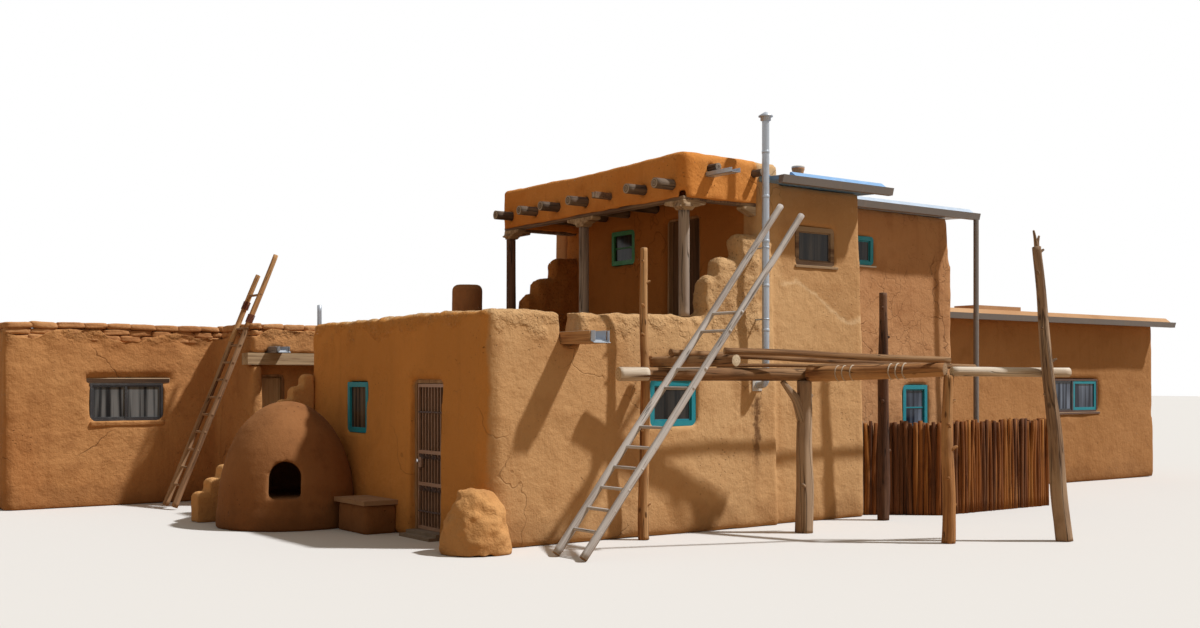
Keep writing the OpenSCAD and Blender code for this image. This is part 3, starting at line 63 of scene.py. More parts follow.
def at(x, y, z=0.0):
    """A point in metres east and north of the front room's corner."""
    return Vector((corner.x + x, corner.y + y, z))


# Camera and light
eye = at(-7.823, -13.217, 2.0)
view_turn = -35.7
horizon_shift = 68 / 1200


def add_camera():
    """A level camera at eye height, with the horizon moved down by a lens shift."""
    data = bpy.data.cameras.new("camera")
    cam = bpy.data.objects.new("camera", data)
    bpy.context.collection.objects.link(cam)
    cam.location = eye
    cam.rotation_euler = (math.radians(90), 0, math.radians(view_turn))
    data.sensor_width = 36.0
    data.lens = 38.82
    data.shift_y = horizon_shift
    data.clip_end = 400
    bpy.context.scene.camera = cam


def put(tree, kind, values=None, **choices):
    """Adds a shader node; a socket's value is a number, a colour or another node's output."""
    n = tree.nodes.new("ShaderNode" + kind)
    for key, v in choices.items():
        setattr(n, key, v)
    for key, v in (values or {}).items():
        if isinstance(v, bpy.types.NodeSocket):
            tree.links.new(v, n.inputs[key])
        else:
            n.inputs[key].default_value = v
    return n


def seen_directly(tree):
    """1 for what the camera sees, also in a mirror or through glass, 0 for light."""
    rays = put(tree, "LightPath").outputs
    seen = rays["Is Camera Ray"]
    for other in ("Is Glossy Ray", "Is Transmission Ray"):
        seen = put(tree, "Math", {0: seen, 1: rays[other]}, operation="MAXIMUM").outputs[0]
    return seen


def add_world():
    """Warm soft light all round, and a plain white backdrop wherever it is seen."""
    world = bpy.data.worlds.new("studio")
    bpy.context.scene.world = world
    world.use_nodes = True
    tree = world.node_tree
    tree.nodes.clear()
    lit = put(tree, "Background", {"Color": (1.0, 0.86, 0.68, 1), "Strength": 0.29})
    seen = put(tree, "Background", {"Color": (1, 1, 1, 1), "Strength": 1.0})
    mix = put(tree, "MixShader", {0: seen_directly(tree), 1: lit.outputs[0], 2: seen.outputs[0]})
    put(tree, "OutputWorld", {0: mix.outputs[0]})


def add_key_light():
    """One broad lamp from the south-east, high up, like a morning sun."""
    data = bpy.data.lights.new("key", "SUN")
    data.energy = 3.5
    data.angle = math.radians(2.5)
    data.color = (1.0, 0.97, 0.92)
    sun = bpy.data.objects.new("key", data)
    bpy.context.collection.objects.link(sun)
    sun.rotation_euler = Vector((0.46, -0.38, 0.80)).to_track_quat("Z", "Y").to_euler()


bpy.context.scene.view_settings.view_transform = "Standard"
add_camera()
add_world()
add_key_light()


# Materials
class Shade:
    """A node material with short ways to add textures and mix them."""

    def __init__(self, name, rough=0.9, metal=0.0, spec=0.3):
        self.mat = bpy.data.materials.new(name)
        self.mat.use_nodes = True
        self.tree = self.mat.node_tree
        self.bsdf = self.tree.nodes["Principled BSDF"]
        self.bsdf.inputs["Roughness"].default_value = rough
        self.bsdf.inputs["Metallic"].default_value = metal
        self.bsdf.inputs["Specular IOR Level"].default_value = spec
        self.co = self.add("TexCoord")
        self.axes = self.add("SeparateXYZ", {0: self.co.outputs["Object"]})
        self.bumps = None

    def add(self, kind, values=None, **choices):
        return put(self.tree, kind, values, **choices)

    def mapped(self, scale, kind="Object", turn=(0, 0, 0)):
        return self.add("Mapping", {"Vector": self.co.outputs[kind], "Scale": scale,
                                    "Rotation": turn}).outputs[0]

    def noise(self, scale, detail=4, rough=0.55, vec=None, bend=0.0):
        where = self.co.outputs["Object"] if vec is None else vec
        return self.add("TexNoise", {"Vector": where, "Scale": scale, "Detail": detail,
                                     "Roughness": rough, "Distortion": bend}).outputs["Fac"]

    def cells(self, scale, feature="F1", vec=None):
        where = self.co.outputs["Object"] if vec is None else vec
        return self.add("TexVoronoi", {"Vector": where, "Scale": scale},
                        feature=feature).outputs["Distance"]

    def bent(self, scale, amount):
        """Object coordinates pushed about by a soft noise."""
        here = self.co.outputs["Object"]
        push = self.add("TexNoise", {"Vector": here, "Scale": scale}).outputs["Color"]
        push = self.add("VectorMath", {0: push, "Scale": amount}, operation="SCALE").outputs[0]
        return self.add("VectorMath", {0: here, 1: push}, operation="ADD").outputs[0]

    def ramp(self, x, a, b, va=0.0, vb=1.0):
        """From va to vb while x goes from a to b."""
        return self.add("MapRange", {"Value": x, "From Min": a, "From Max": b, "To Min": va,
                                     "To Max": vb}, interpolation_type="SMOOTHSTEP").outputs[0]

    def wander(self, noise, reach):
        """A noise as a move of at most reach to either side."""
        return self.ramp(noise, 0.3, 0.7, -reach, reach)

    def math(self, op, a, b=None):
        return self.add("Math", {0: a} if b is None else {0: a, 1: b}, operation=op).outputs[0]

    def both(self, a, b):
        return self.math("MULTIPLY", a, b)

    def mix(self, fac, a, b):
        a, b = ((*v, 1) if isinstance(v, tuple) else v for v in (a, b))
        return self.add("Mix", {0: fac, 6: a, 7: b}, data_type="RGBA").outputs[2]

    def place(self, axis):
        return self.axes.outputs[axis]

    def bump(self, height, dist, strength=1.0):
        """One more layer of relief, dist metres high."""
        values = {"Strength": strength, "Distance": dist, "Height": height}
        if self.bumps is not None:
            values["Normal"] = self.bumps
        self.bumps = self.add("Bump", values).outputs[0]

    def done(self, color, rough=None):
        """The finished material, with its colour, roughness and relief joined up."""
        for key, v in (("Base Color", color), ("Roughness", rough), ("Normal", self.bumps)):
            if v is not None:
                self.tree.links.new(v, self.bsdf.inputs[key])
        return self.mat


def scaled(color, k):
    """A colour made k times as bright."""
    return tuple(min(1.0, v * k) for v in color)


def recoat(s, where, tone, coats, paler, darker):
    """A coat's three colours, turned into those of another tone in one area."""
    tones = (tone, scaled(tone, paler), scaled(tone, darker))
    return [s.mix(where, old, new) for old, new in zip(coats, tones)]


def coats_with_painted_shade(s, mid, coats, west, porch):
    """A coat's three colours, with other tones on the west side and inside the porch:
    on the west side partly painted shade, inside the porch painted shade.
    """
    # the shaded west side: a deeper orange that is partly painted shade
    if west is not None:
        x, tone = west
        side = s.ramp(s.math("ADD", s.place(0), s.wander(mid, 0.02)), x + 0.13, x + 0.08)
        coats = recoat(s, side, tone, coats, 1.16, 0.80)
    # under the porch roof: a darker coat that is painted shade
    if porch is not None:
        (x, y, z), tone = porch
        inside = s.both(s.ramp(s.place(0), x, x + 0.03), s.ramp(s.place(1), y, y + 0.03))
        inside = s.both(inside, s.ramp(s.place(2), z, z + 0.05))
        coats = recoat(s, inside, tone, coats, 1.14, 0.78)
    return coats


def coat_edge(s, c, mid, patch, pale, dark):
    """Where a paler coat low on the tower ends: a pale ridge, with a dark band above."""
    x, z_high, z_low = patch
    line = s.ramp(s.place(0), x + 0.75, x + 1.75, z_high, z_low)
    line = s.math("SUBTRACT", s.math("ADD", s.place(2), s.wander(mid, 0.05)), line)
    tower = s.ramp(s.place(0), x + 0.35, x + 0.55)
    c = s.mix(s.both(s.ramp(line, 0.05, -0.05, 0, 0.40), tower), c, pale)
    ridge = s.ramp(s.math("ABSOLUTE", line), 0.055, 0.0, 0, 0.75)
    c = s.mix(s.both(ridge, tower), c, s.mix(0.45, pale, (0.90, 0.72, 0.48)))
    return s.mix(s.both(s.ramp(line, -0.02, 0.10, 0, 0.45), tower), c, dark)


def marked(s, c, comb, streak, pale, dark):
    """Long rain streaks, the comb's fine trowel marks, and short pale flecks of straw."""
    rain = s.noise(1.0, 4, 0.6, s.mapped((5.5, 5.5, 0.45)))
    c = s.mix(s.ramp(rain, 0.52, 0.74, 0, streak), c, dark)
    c = s.mix(s.ramp(comb, 0.56, 0.78, 0, 0.20), c, dark)
    fleck = s.cells(34, vec=s.mapped((1, 1, 2.4), turn=(0.5, 0.9, 0.3)))
    return s.mix(s.ramp(fleck, 0.16, 0.08, 0, 0.30), c, pale)


def worn_crown(s, c, mid, small, crown, pale, dark):
    """Rough, bleached tops of walls; gives the colour and where they are."""
    height, x_end = crown
    rise = s.math("ADD", s.place(2), s.wander(mid, 0.16))
    top = s.both(s.ramp(rise, height, height + 0.18), s.ramp(s.place(0), x_end + 0.05, x_end))
    c = s.mix(s.both(top, s.ramp(small, 0.35, 0.6, 0.15, 0.75)), c, pale)
    c = s.mix(s.both(top, s.ramp(small, 0.55, 0.72, 0, 0.65)), c, dark)
    s.bump(s.both(small, top), 0.05, 0.8)
    return c, top


def stained(s, c, soot):
    """A dark run down the wall below the stovepipe."""
    x, y, top = soot
    wide = s.math("ABSOLUTE", s.math("SUBTRACT", s.place(0), x))
    wide = s.math("ADD", wide, s.wander(s.noise(14, 4), 0.035))
    stain = s.both(s.ramp(wide, 0.10, 0.015), s.ramp(s.place(2), top, top - 0.12))
    stain = s.both(stain, s.ramp(s.place(2), top - 1.35, top - 0.5))
    stain = s.both(stain, s.ramp(s.place(1), y + 0.2, y + 0.1))
    return s.mix(s.both(stain, 0.8), c, (0.11, 0.045, 0.018))


def cracks(s, crack):
    """Thin drying cracks in some places, and above 1 a closer net of them too."""
    net = s.cells(0.55, "DISTANCE_TO_EDGE", s.bent(2.6, 0.8))
    line = s.both(s.ramp(net, 0.0075, 0.002), s.ramp(s.noise(0.6, 2), 0.50, 0.60))
    line = s.both(line, min(1.0, crack))
    if crack > 1.0:
        close = s.cells(3.0, "DISTANCE_TO_EDGE", s.bent(6.0, 0.22))
        close = s.both(s.ramp(close, 0.022, 0.006), s.ramp(s.noise(0.8, 2), 0.42, 0.56, 0, 0.6))
        line = s.math("MAXIMUM", line, close)
    return line


def adobe(name, base, pale, dark, crack=0.6, coarse=1.0, streak=0.3, foot=0.5,
          crown=None, west=None, soot=None, porch=None, patch=None):
    """Earth plaster: crown is the height where worn tops begin and the x where they end,
    west the x and colour of a west coat that is partly painted shade, soot the x, y and top
    of a stain on the wall, porch the low corner and colour of a darker coat that is painted
    shade inside the porch, patch the x, upper and lower height of the edge of a paler coat
    low on the tower."""
    s = Shade(name, rough=0.95, spec=0.12)
    mid = s.noise(2.3, 5)
    small = s.noise(11, 6, 0.65)
    comb = s.noise(1.0, 3, 0.6, s.mapped((42, 42, 5.0)), 0.4)
    # the west coat is partly painted shade, the porch coat painted shade
    base, pale, dark = coats_with_painted_shade(s, mid, (base, pale, dark), west, porch)
    c = s.mix(s.ramp(s.noise(0.45, 3), 0.36, 0.66), base, pale)
    c = s.mix(s.ramp(mid, 0.50, 0.76, 0, 0.50), c, dark)
    if patch is not None:
        c = coat_edge(s, c, mid, patch, pale, dark)
    c = s.mix(s.ramp(small, 0.54, 0.80, 0, 0.30), c, dark)
    c = s.mix(s.ramp(small, 0.44, 0.24, 0, 0.30), c, pale)
    c = marked(s, c, comb, streak, pale, dark)
    # small holes, thickest where the plaster has worn
    hole = s.ramp(s.cells(15, vec=s.bent(9, 0.05)), 0.17, 0.07)
    worn = s.ramp(s.noise(1.1, 3), 0.50, 0.66, 0.0, 0.9)
    if crown is not None:
        c, top = worn_crown(s, c, mid, small, crown, pale, dark)
        worn = s.math("MAXIMUM", worn, top)
    hole = s.both(hole, worn)
    c = s.mix(s.both(hole, 0.6), c, s.mix(0.5, dark, (0.05, 0.02, 0.01)))
    # a damp, dusty foot along the ground
    edge = s.math("ADD", s.place(2), s.wander(mid, 0.20))
    c = s.mix(s.ramp(edge, 0.50, 0.02, 0, foot), c, s.mix(0.35, dark, (0.10, 0.05, 0.025)))
    if soot is not None:
        c = stained(s, c, soot)
    line = cracks(s, crack)
    c = s.mix(s.both(line, 0.55), c, s.mix(0.6, dark, (0.06, 0.025, 0.01)))
    for height, dist, strength in (
            (mid, 0.05 * coarse, 0.5), (small, 0.020 * coarse, 0.85), (comb, 0.004 * coarse, 0.6),
            (s.noise(70, 4, 0.7), 0.004, 0.7), (s.both(hole, -1.0), 0.014, 1.0),
            (s.both(line, -1.0), 0.008, 1.0)):
        s.bump(height, dist, strength)
    return s.done(c)


def log_wood(name, base, pale, dark, grain=1.0, knots=0.0):
    """Wood for round logs, whose UV runs round the log and along it in metres."""
    s = Shade(name, rough=0.85, spec=0.2)
    g = s.noise(1.0, 6, 0.65, s.mapped((24, 1.3, 1), "UV"), 0.6)
    wide = s.noise(1.0, 3, 0.5, s.mapped((4, 0.5, 1), "UV"))
    blotch = s.noise(3.2, 4)
    c = s.mix(s.ramp(g, 0.34, 0.60), dark, base)
    c = s.mix(s.ramp(wide, 0.40, 0.66, 0, 0.85), c, pale)
    c = s.mix(s.ramp(blotch, 0.55, 0.78, 0, 0.45), c, dark)
    split = s.noise(1.0, 2, 0.5, s.mapped((8, 0.30, 1), "UV"))
    crack = s.ramp(s.math("ABSOLUTE", s.math("SUBTRACT", split, 0.5)), 0.010, 0.0)
    c = s.mix(s.both(crack, 0.75), c, scaled(dark, 0.35))
    if knots:
        spot = s.ramp(s.cells(2.4, vec=s.mapped((3.0, 1.3, 1), "UV")), 0.16, 0.05)
        c = s.mix(s.both(spot, knots), c, scaled(dark, 0.45))
        s.bump(spot, 0.02, 0.8)
    s.bump(g, 0.006 * grain, 0.8)
    s.bump(s.both(crack, -1.0), 0.012, 1.0)
    return s.done(c)


def end_wood(name, base, dark):
    """Sawn log ends: rings round the middle, whose UV gives the distance from it."""
    s = Shade(name, rough=0.9, spec=0.15)
    ring = s.noise(1.0, 3, 0.6, s.mapped((9, 0.2, 1), "UV"))
    a = s.noise(22, 4)
    c = s.mix(s.ramp(ring, 0.40, 0.62), base, dark)
    c = s.mix(s.ramp(a, 0.5, 0.75, 0, 0.5), c, scaled(dark, 0.7))
    s.bump(a, 0.004, 0.7)
    return s.done(c)


def sawn_wood(name, base, pale, dark, axis=0, grain=1.0):
    """Sawn wood whose grain runs along X, Y or Z."""
    s = Shade(name, rough=0.85, spec=0.2)
    close = [22.0, 22.0, 22.0]
    close[axis] = 1.1
    g = s.noise(1.0, 6, 0.65, s.mapped(close), 0.5)
    loose = [4.0, 4.0, 4.0]
    loose[axis] = 0.4
    wide = s.noise(1.0, 3, 0.5, s.mapped(loose))
    c = s.mix(s.ramp(g, 0.35, 0.66), dark, base)
    c = s.mix(s.ramp(wide, 0.45, 0.72, 0, 0.7), c, pale)
    s.bump(g, 0.005 * grain, 0.8)
    return s.done(c)


def coat(name, base, worn, rough=0.55, metal=0.0, chips=0.35, spec=0.4):
    """Paint or metal with worn, dusty places."""
    s = Shade(name, rough=rough, metal=metal, spec=spec)
    a = s.noise(6, 5, 0.6)
    b = s.noise(45, 4, 0.6)
    c = s.mix(s.ramp(a, 0.52, 0.70, 0, chips), base, worn)
    c = s.mix(s.ramp(b, 0.55, 0.75, 0, chips * 0.7), c, worn)
    s.bump(b, 0.002, 0.5)
    return s.done(c, s.ramp(a, 0.3, 0.8, rough * 0.8, min(1, rough * 1.3)))


def pane(name, deep, fold_color, fold=0.4):
    """Dark window glass with the folds of a curtain showing through."""
    s = Shade(name, rough=0.12, spec=0.22)
    wave = s.noise(1.0, 3, 0.5, s.mapped((13, 13, 0.5)))
    dim = s.noise(0.9, 2)
    shown = s.both(s.ramp(wave, 0.36, 0.64), s.ramp(dim, 0.3, 0.6, 0.35, 1.0))
    c = s.mix(s.both(shown, fold), deep, fold_color)
    s.bump(dim, 0.002, 0.3)
    return s.done(c)


# The west coat's tone is partly painted shade; the porch coat's tone is painted shade.
m_house = adobe("adobe_house", (0.60, 0.355, 0.168), (0.69, 0.445, 0.23), (0.45, 0.235, 0.100),
                crown=(2.62, corner.x + 4.40), west=(corner.x, (0.61, 0.275, 0.076)),
                soot=(corner.x + 4.36, corner.y, 1.86),
                porch=((corner.x + 3.2, corner.y + 0.43, 2.52), (0.47, 0.19, 0.052)),
                patch=(corner.x + 4.5, 3.42, 2.92))
m_hall = adobe("adobe_hall", (0.52, 0.272, 0.130), (0.60, 0.335, 0.17), (0.35, 0.155, 0.066), 1.1)
m_wing = adobe("adobe_wing", (0.42, 0.215, 0.088), (0.48, 0.255, 0.112), (0.32, 0.15, 0.058), 0.3)
m_left = adobe("adobe_left", (0.49, 0.228, 0.088), (0.57, 0.295, 0.122), (0.32, 0.138, 0.05),
               1.0, 1.4, crown=(2.72, corner.x + 9.0))
m_mound = adobe("adobe_mound", (0.62, 0.33, 0.13), (0.74, 0.45, 0.21), (0.42, 0.20, 0.078),
                0.1, 1.8, 0.0, 0.2)
m_band_dark = adobe("adobe_chimney", (0.34, 0.155, 0.068), (0.42, 0.21, 0.10), (0.20, 0.085, 0.038),
                    0.2, 1.0, 0.1, 0.0)
m_band = adobe("adobe_band", (0.64, 0.245, 0.052), (0.72, 0.31, 0.085), (0.46, 0.155, 0.032),
               0.5, 1.2)
# The oven's dark coat is partly painted shade; the bench base uses it too.
m_oven_shaded_coat = adobe("adobe_oven_shaded", (0.25, 0.105, 0.040), (0.34, 0.155, 0.062), (0.13, 0.054, 0.022),
               0.3, 0.6, 0.15)
m_brick = adobe("adobe_bricks", (0.49, 0.235, 0.10), (0.60, 0.325, 0.15), (0.28, 0.115, 0.048),
                0.2, 1.2)
m_floor_earth = adobe("earth_floor", (0.33, 0.18, 0.09), (0.40, 0.24, 0.13),
                      (0.25, 0.13, 0.065), 0.3, 0.6, 0.0, 0.0)
m_grey_log = log_wood("grey_log", (0.145, 0.105, 0.080), (0.27, 0.215, 0.17), (0.060, 0.042, 0.033))
m_post_log = log_wood("post_log", (0.30, 0.235, 0.20), (0.46, 0.39, 0.34), (0.15, 0.115, 0.095))
m_silver_log = log_wood("silver_log", (0.54, 0.51, 0.50), (0.70, 0.68, 0.68), (0.32, 0.28, 0.26))
m_brown_log = log_wood("brown_log", (0.34, 0.195, 0.11), (0.50, 0.33, 0.20), (0.15, 0.075, 0.038))
m_orange_log = log_wood("orange_log", (0.44, 0.215, 0.085), (0.58, 0.35, 0.17),
                        (0.19, 0.08, 0.032), 1.0, 0.7)
m_pale_log = log_wood("pale_log", (0.64, 0.55, 0.45), (0.78, 0.72, 0.63), (0.42, 0.31, 0.215))
m_beam_log = log_wood("beam_log", (0.28, 0.148, 0.070), (0.42, 0.26, 0.14), (0.11, 0.054, 0.027),
                      1.2, 0.4)
m_dark_log = log_wood("dark_log", (0.125, 0.062, 0.040), (0.22, 0.125, 0.08), (0.05, 0.026, 0.018))
m_twist_log = log_wood("twist_log", (0.34, 0.225, 0.145), (0.50, 0.37, 0.26),
                       (0.13, 0.075, 0.045), 1.3, 0.6)
m_stake = log_wood("stake_wood", (0.22, 0.075, 0.022), (0.38, 0.15, 0.042), (0.075, 0.025, 0.010))
m_stake_b = log_wood("stake_wood_b", (0.14, 0.052, 0.022), (0.27, 0.12, 0.055),
                     (0.045, 0.018, 0.010))
m_stake_c = log_wood("stake_wood_c", (0.34, 0.13, 0.034), (0.52, 0.24, 0.07), (0.12, 0.042, 0.015))
m_end = end_wood("sawn_end", (0.42, 0.29, 0.18), (0.22, 0.125, 0.07))
m_end_dark = end_wood("weathered_end", (0.46, 0.40, 0.34), (0.14, 0.105, 0.085))
m_end_pale = end_wood("pale_end", (0.72, 0.63, 0.48), (0.42, 0.31, 0.20))
# The lintel's very dark wood is partly painted shade from the groove it sits in.
m_lintel_shaded = sawn_wood("lintel_wood_shaded", (0.085, 0.048, 0.03), (0.15, 0.09, 0.055),
                     (0.04, 0.022, 0.015), 0)
m_rope = coat("rope", (0.16, 0.045, 0.03), (0.28, 0.12, 0.07), 0.9)
m_splice_log = log_wood("splice_log", (0.56, 0.30, 0.13), (0.68, 0.44, 0.22), (0.30, 0.14, 0.06))
m_beam = sawn_wood("beam_wood", (0.27, 0.19, 0.135), (0.42, 0.33, 0.24), (0.12, 0.08, 0.06), 1)
m_corbel = sawn_wood("corbel_wood", (0.50, 0.37, 0.24), (0.66, 0.54, 0.39), (0.22, 0.14, 0.085), 0)
m_plank_x = sawn_wood("plank_wood", (0.56, 0.42, 0.265), (0.72, 0.60, 0.42), (0.30, 0.20, 0.12), 0)
m_plank_y = sawn_wood("trough_wood", (0.56, 0.33, 0.16), (0.68, 0.48, 0.28),
                      (0.30, 0.155, 0.075), 1)
m_plank_z = sawn_wood("frame_wood", (0.42, 0.26, 0.145), (0.54, 0.38, 0.23), (0.24, 0.135, 0.07), 2)
m_door_wood = sawn_wood("door_wood", (0.56, 0.41, 0.25), (0.66, 0.52, 0.34), (0.36, 0.24, 0.13), 2)
m_dark_plank = sawn_wood("dark_plank", (0.15, 0.08, 0.045), (0.24, 0.14, 0.08),
                         (0.075, 0.04, 0.022), 2)
m_grey_frame = sawn_wood("window_timber", (0.30, 0.20, 0.125), (0.46, 0.34, 0.23),
                         (0.12, 0.07, 0.045), 0)
m_pale_frame = sawn_wood("sill_timber", (0.46, 0.34, 0.22), (0.62, 0.50, 0.36),
                         (0.24, 0.15, 0.09), 0)
m_turquoise = coat("turquoise_paint", (0.010, 0.27, 0.36), (0.07, 0.36, 0.42))
m_green = coat("green_paint", (0.035, 0.23, 0.075), (0.14, 0.30, 0.12))
m_brown_frame = coat("brown_frame", (0.10, 0.05, 0.035), (0.17, 0.10, 0.07))
m_dark_frame = coat("dark_frame", (0.055, 0.055, 0.06), (0.14, 0.14, 0.14), 0.4, 0.3)
m_pale_paint = coat("pale_paint", (0.66, 0.62, 0.56), (0.48, 0.40, 0.32))
m_galv = coat("galvanised", (0.44, 0.50, 0.58), (0.32, 0.33, 0.36), 0.42, 0.35, 0.4)
m_gutter = coat("gutter_metal", (0.19, 0.165, 0.15), (0.28, 0.23, 0.19), 0.5, 0.3, 0.5)
m_sheet = coat("roof_sheet", (0.17, 0.38, 0.70), (0.38, 0.50, 0.68), 0.40, 0.25, 0.35)
m_sheet_pale = coat("roof_sheet_pale", (0.42, 0.52, 0.66), (0.52, 0.56, 0.62), 0.42, 0.25, 0.35)
m_tan_roof = adobe("tan_roofing", (0.50, 0.285, 0.15), (0.60, 0.38, 0.22), (0.36, 0.18, 0.09),
                   0.0, 0.25, 0.0, 0.0)
m_steel_tan = coat("tan_steel", (0.34, 0.20, 0.13), (0.46, 0.30, 0.21), 0.5, 0.2, 0.5)
m_chrome = coat("knob_metal", (0.62, 0.62, 0.64), (0.40, 0.40, 0.42), 0.25, 0.9, 0.3)
m_rusty = coat("rusty_iron", (0.075, 0.045, 0.035), (0.19, 0.085, 0.04), 0.7, 0.3, 0.6)
m_stone = adobe("grey_stone", (0.25, 0.20, 0.16), (0.36, 0.30, 0.245), (0.14, 0.105, 0.08),
                0.0, 0.5, 0.0, 0.2)
m_slab = adobe("bench_stone", (0.33, 0.195, 0.115), (0.42, 0.27, 0.165), (0.20, 0.11, 0.062),
               0.0, 0.5, 0.0, 0.0)
m_clay = coat("clay_pot", (0.46, 0.22, 0.09), (0.34, 0.16, 0.075), 0.8)
m_glass = pane("window_glass", (0.010, 0.011, 0.012), (0.07, 0.065, 0.06), 0.6)
m_glass_west = pane("window_glass_west", (0.022, 0.017, 0.014), (0.20, 0.155, 0.12), 0.8)
m_glass_grey = pane("window_glass_grey", (0.018, 0.02, 0.023), (0.20, 0.21, 0.22), 0.9)
m_glass_dim = pane("window_glass_dim", (0.018, 0.016, 0.015), (0.085, 0.078, 0.070), 0.9)
m_glass_blue = pane("window_glass_blue", (0.012, 0.016, 0.03), (0.22, 0.28, 0.40), 0.8)


# Noise and mesh helpers
table = np.random.default_rng(11).uniform(-1, 1, (32, 32, 32))


def lump(p, size, seed=0):
    """Smooth noise from -1 to 1 at many points, with lumps of about that size."""
    q = np.asarray(p, float) / size + seed * 7.31
    i = np.floor(q).astype(int)
    f = q - i
    f = f * f * (3 - 2 * f)
    out = np.zeros(len(q))
    for dx in (0, 1):
        for dy in (0, 1):
            for dz in (0, 1):
                w = (f[:, 0] if dx else 1 - f[:, 0]) * (f[:, 1] if dy else 1 - f[:, 1])
                w = w * (f[:, 2] if dz else 1 - f[:, 2])
                out += w * table[(i[:, 0] + dx) % 32, (i[:, 1] + dy) % 32, (i[:, 2] + dz) % 32]
    return out


def keep(name, mesh, mat, body="house", replaced=(), smooth=True):
    """Makes a visual piece from a mesh, on a body, in place of some CAD nodes."""
    o = bpy.data.objects.new(name, mesh)
    bpy.context.collection.objects.link(o)
    if o.data.materials:
        o.data.materials.clear()
    for m in (mat if isinstance(mat, (list, tuple)) else [mat]):
        o.data.materials.append(m)
    if smooth:
        o.data.polygons.foreach_set("use_smooth", [True] * len(o.data.polygons))
    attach(o, body)
    if replaced:
        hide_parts(*replaced)


def coords(mesh):
    """A mesh's vertices, one row each."""
    a = np.empty(len(mesh.vertices) * 3)
    mesh.vertices.foreach_get("co", a)
    return a.reshape(-1, 3)


def set_coords(mesh, a):
    """Moves a mesh's vertices, but never below the ground or out of the CAD box."""
    a = np.clip(a, np.array(low) + 0.001, np.array(high) - 0.001)
    a[:, 2] = np.maximum(a[:, 2], 0.0)
    mesh.vertices.foreach_set("co", a.ravel())
    mesh.update()


def normals(mesh):
    """A mesh's vertex normals, one row each."""
    a = np.empty(len(mesh.vertices) * 3)
    mesh.vertex_normals.foreach_get("vector", a)
    return a.reshape(-1, 3)


def solids_of(node):
    """The vertices of each separate solid in a CAD node, west to east."""
    bm = bmesh.new()
    bm.from_mesh(nodes[node].data)
    bmesh.ops.remove_doubles(bm, verts=bm.verts, dist=1e-5)
    seen, groups = set(), []
    for start in bm.verts:
        stack = [] if start in seen else [start]
        seen.add(start)
        group = []
        while stack:
            v = stack.pop()
            group.append(v.co[:])
            for o in (e.other_vert(v) for e in v.link_edges):
                if o not in seen:
                    seen.add(o)
                    stack.append(o)
        if group:
            groups.append(np.array(group))
    bm.free()
    return sorted(groups, key=lambda g: (round(g[:, 0].min(), 2), round(g[:, 1].min(), 2)))


def log_line(points):
    """The two ends and end radii of a log-shaped solid, lowest or most western end first."""
    mid = points.mean(0)
    axis = np.linalg.svd(points - mid)[2][0]
    if axis[np.argmax(np.abs(axis))] < 0:
        axis = -axis
    t = (points - mid) @ axis
    ends = []
    for sign in (1, -1):
        near = points[sign * t < (sign * t).min() + 0.10]
        centre = near.mean(0)
        spread = np.linalg.norm(near - centre - np.outer((near - centre) @ axis, axis), axis=1)
        ends.append((Vector(centre + axis * ((t.min() if sign == 1 else t.max())
                                             - (centre - mid) @ axis)), float(spread.max())))
    return ends


def remeshed(name, names, voxel, smooth=3):
    """One closed mesh made from several solids by a voxel remesh, then smoothed."""
    bm = bmesh.new()
    for n in names:
        bm.from_mesh(nodes[n].data)
    src = bpy.data.meshes.new(name + "_src")
    bm.to_mesh(src)
    bm.free()
    o = bpy.data.objects.new(name + "_src", src)
    bpy.context.collection.objects.link(o)
    m = o.modifiers.new("remesh", "REMESH")
    m.mode = "VOXEL"
    m.voxel_size = voxel
    m.adaptivity = 0.0
    s = o.modifiers.new("smooth", "SMOOTH")
    s.factor = 0.5
    s.iterations = smooth
    dep = bpy.context.evaluated_depsgraph_get()
    out = bpy.data.meshes.new_from_object(o.evaluated_get(dep))
    out.name = name
    bpy.data.objects.remove(o)
    bpy.data.meshes.remove(src)
    return out


def plastered(name, names, voxel, mat, wave=0.018, rough=0.008, smooth=3, seed=1, shape=None):
    """Hand-plastered earth: rounded edges and uneven faces. shape gives further moves."""
    mesh = remeshed(name, names, voxel, smooth)
    p, n = coords(mesh), normals(mesh)
    d = wave * (0.65 * lump(p, 1.1, seed) + 0.35 * lump(p, 0.45, seed + 1))
    d += rough * lump(p, 0.16, seed + 2)
    q = p + n * d[:, None]
    if shape is not None:
        q = shape(p, n, q)
    set_coords(mesh, q)
    keep(name, mesh, mat, replaced=names)


def curve_points(path, step):
    """Points every step along a smooth line through the path's points."""
    pts = [Vector(p) for p in path]
    if len(pts) == 2:
        n = max(2, int((pts[1] - pts[0]).length / step))
        return [pts[0].lerp(pts[1], i / n) for i in range(n + 1)]
    ext = [pts[0] * 2 - pts[1]] + pts + [pts[-1] * 2 - pts[-2]]
    out = []
    for k in range(1, len(ext) - 2):
        a, b, c, d = ext[k - 1:k + 3]
        n = max(2, int((c - b).length / step))
        for i in range(n):
            t = i / n
            out.append(0.5 * ((2 * b) + (c - a) * t + (2 * a - 5 * b + 4 * c - d) * t * t
                              + (3 * b - a - 3 * c + d) * t ** 3))
    out.append(pts[-1])
    return out


def wobbled(pts, wobble, seed):
    """A line's points moved a little to the sides, least at its ends."""
    base = np.array([p[:] for p in pts])
    ends = np.sin(np.linspace(0, math.pi, len(pts))) ** 0.5
    for k in range(3):
        base[:, k] += wobble * lump(base + k * 13.7, 0.8, seed * 0.37 + k) * ends
    return [Vector(p) for p in base]


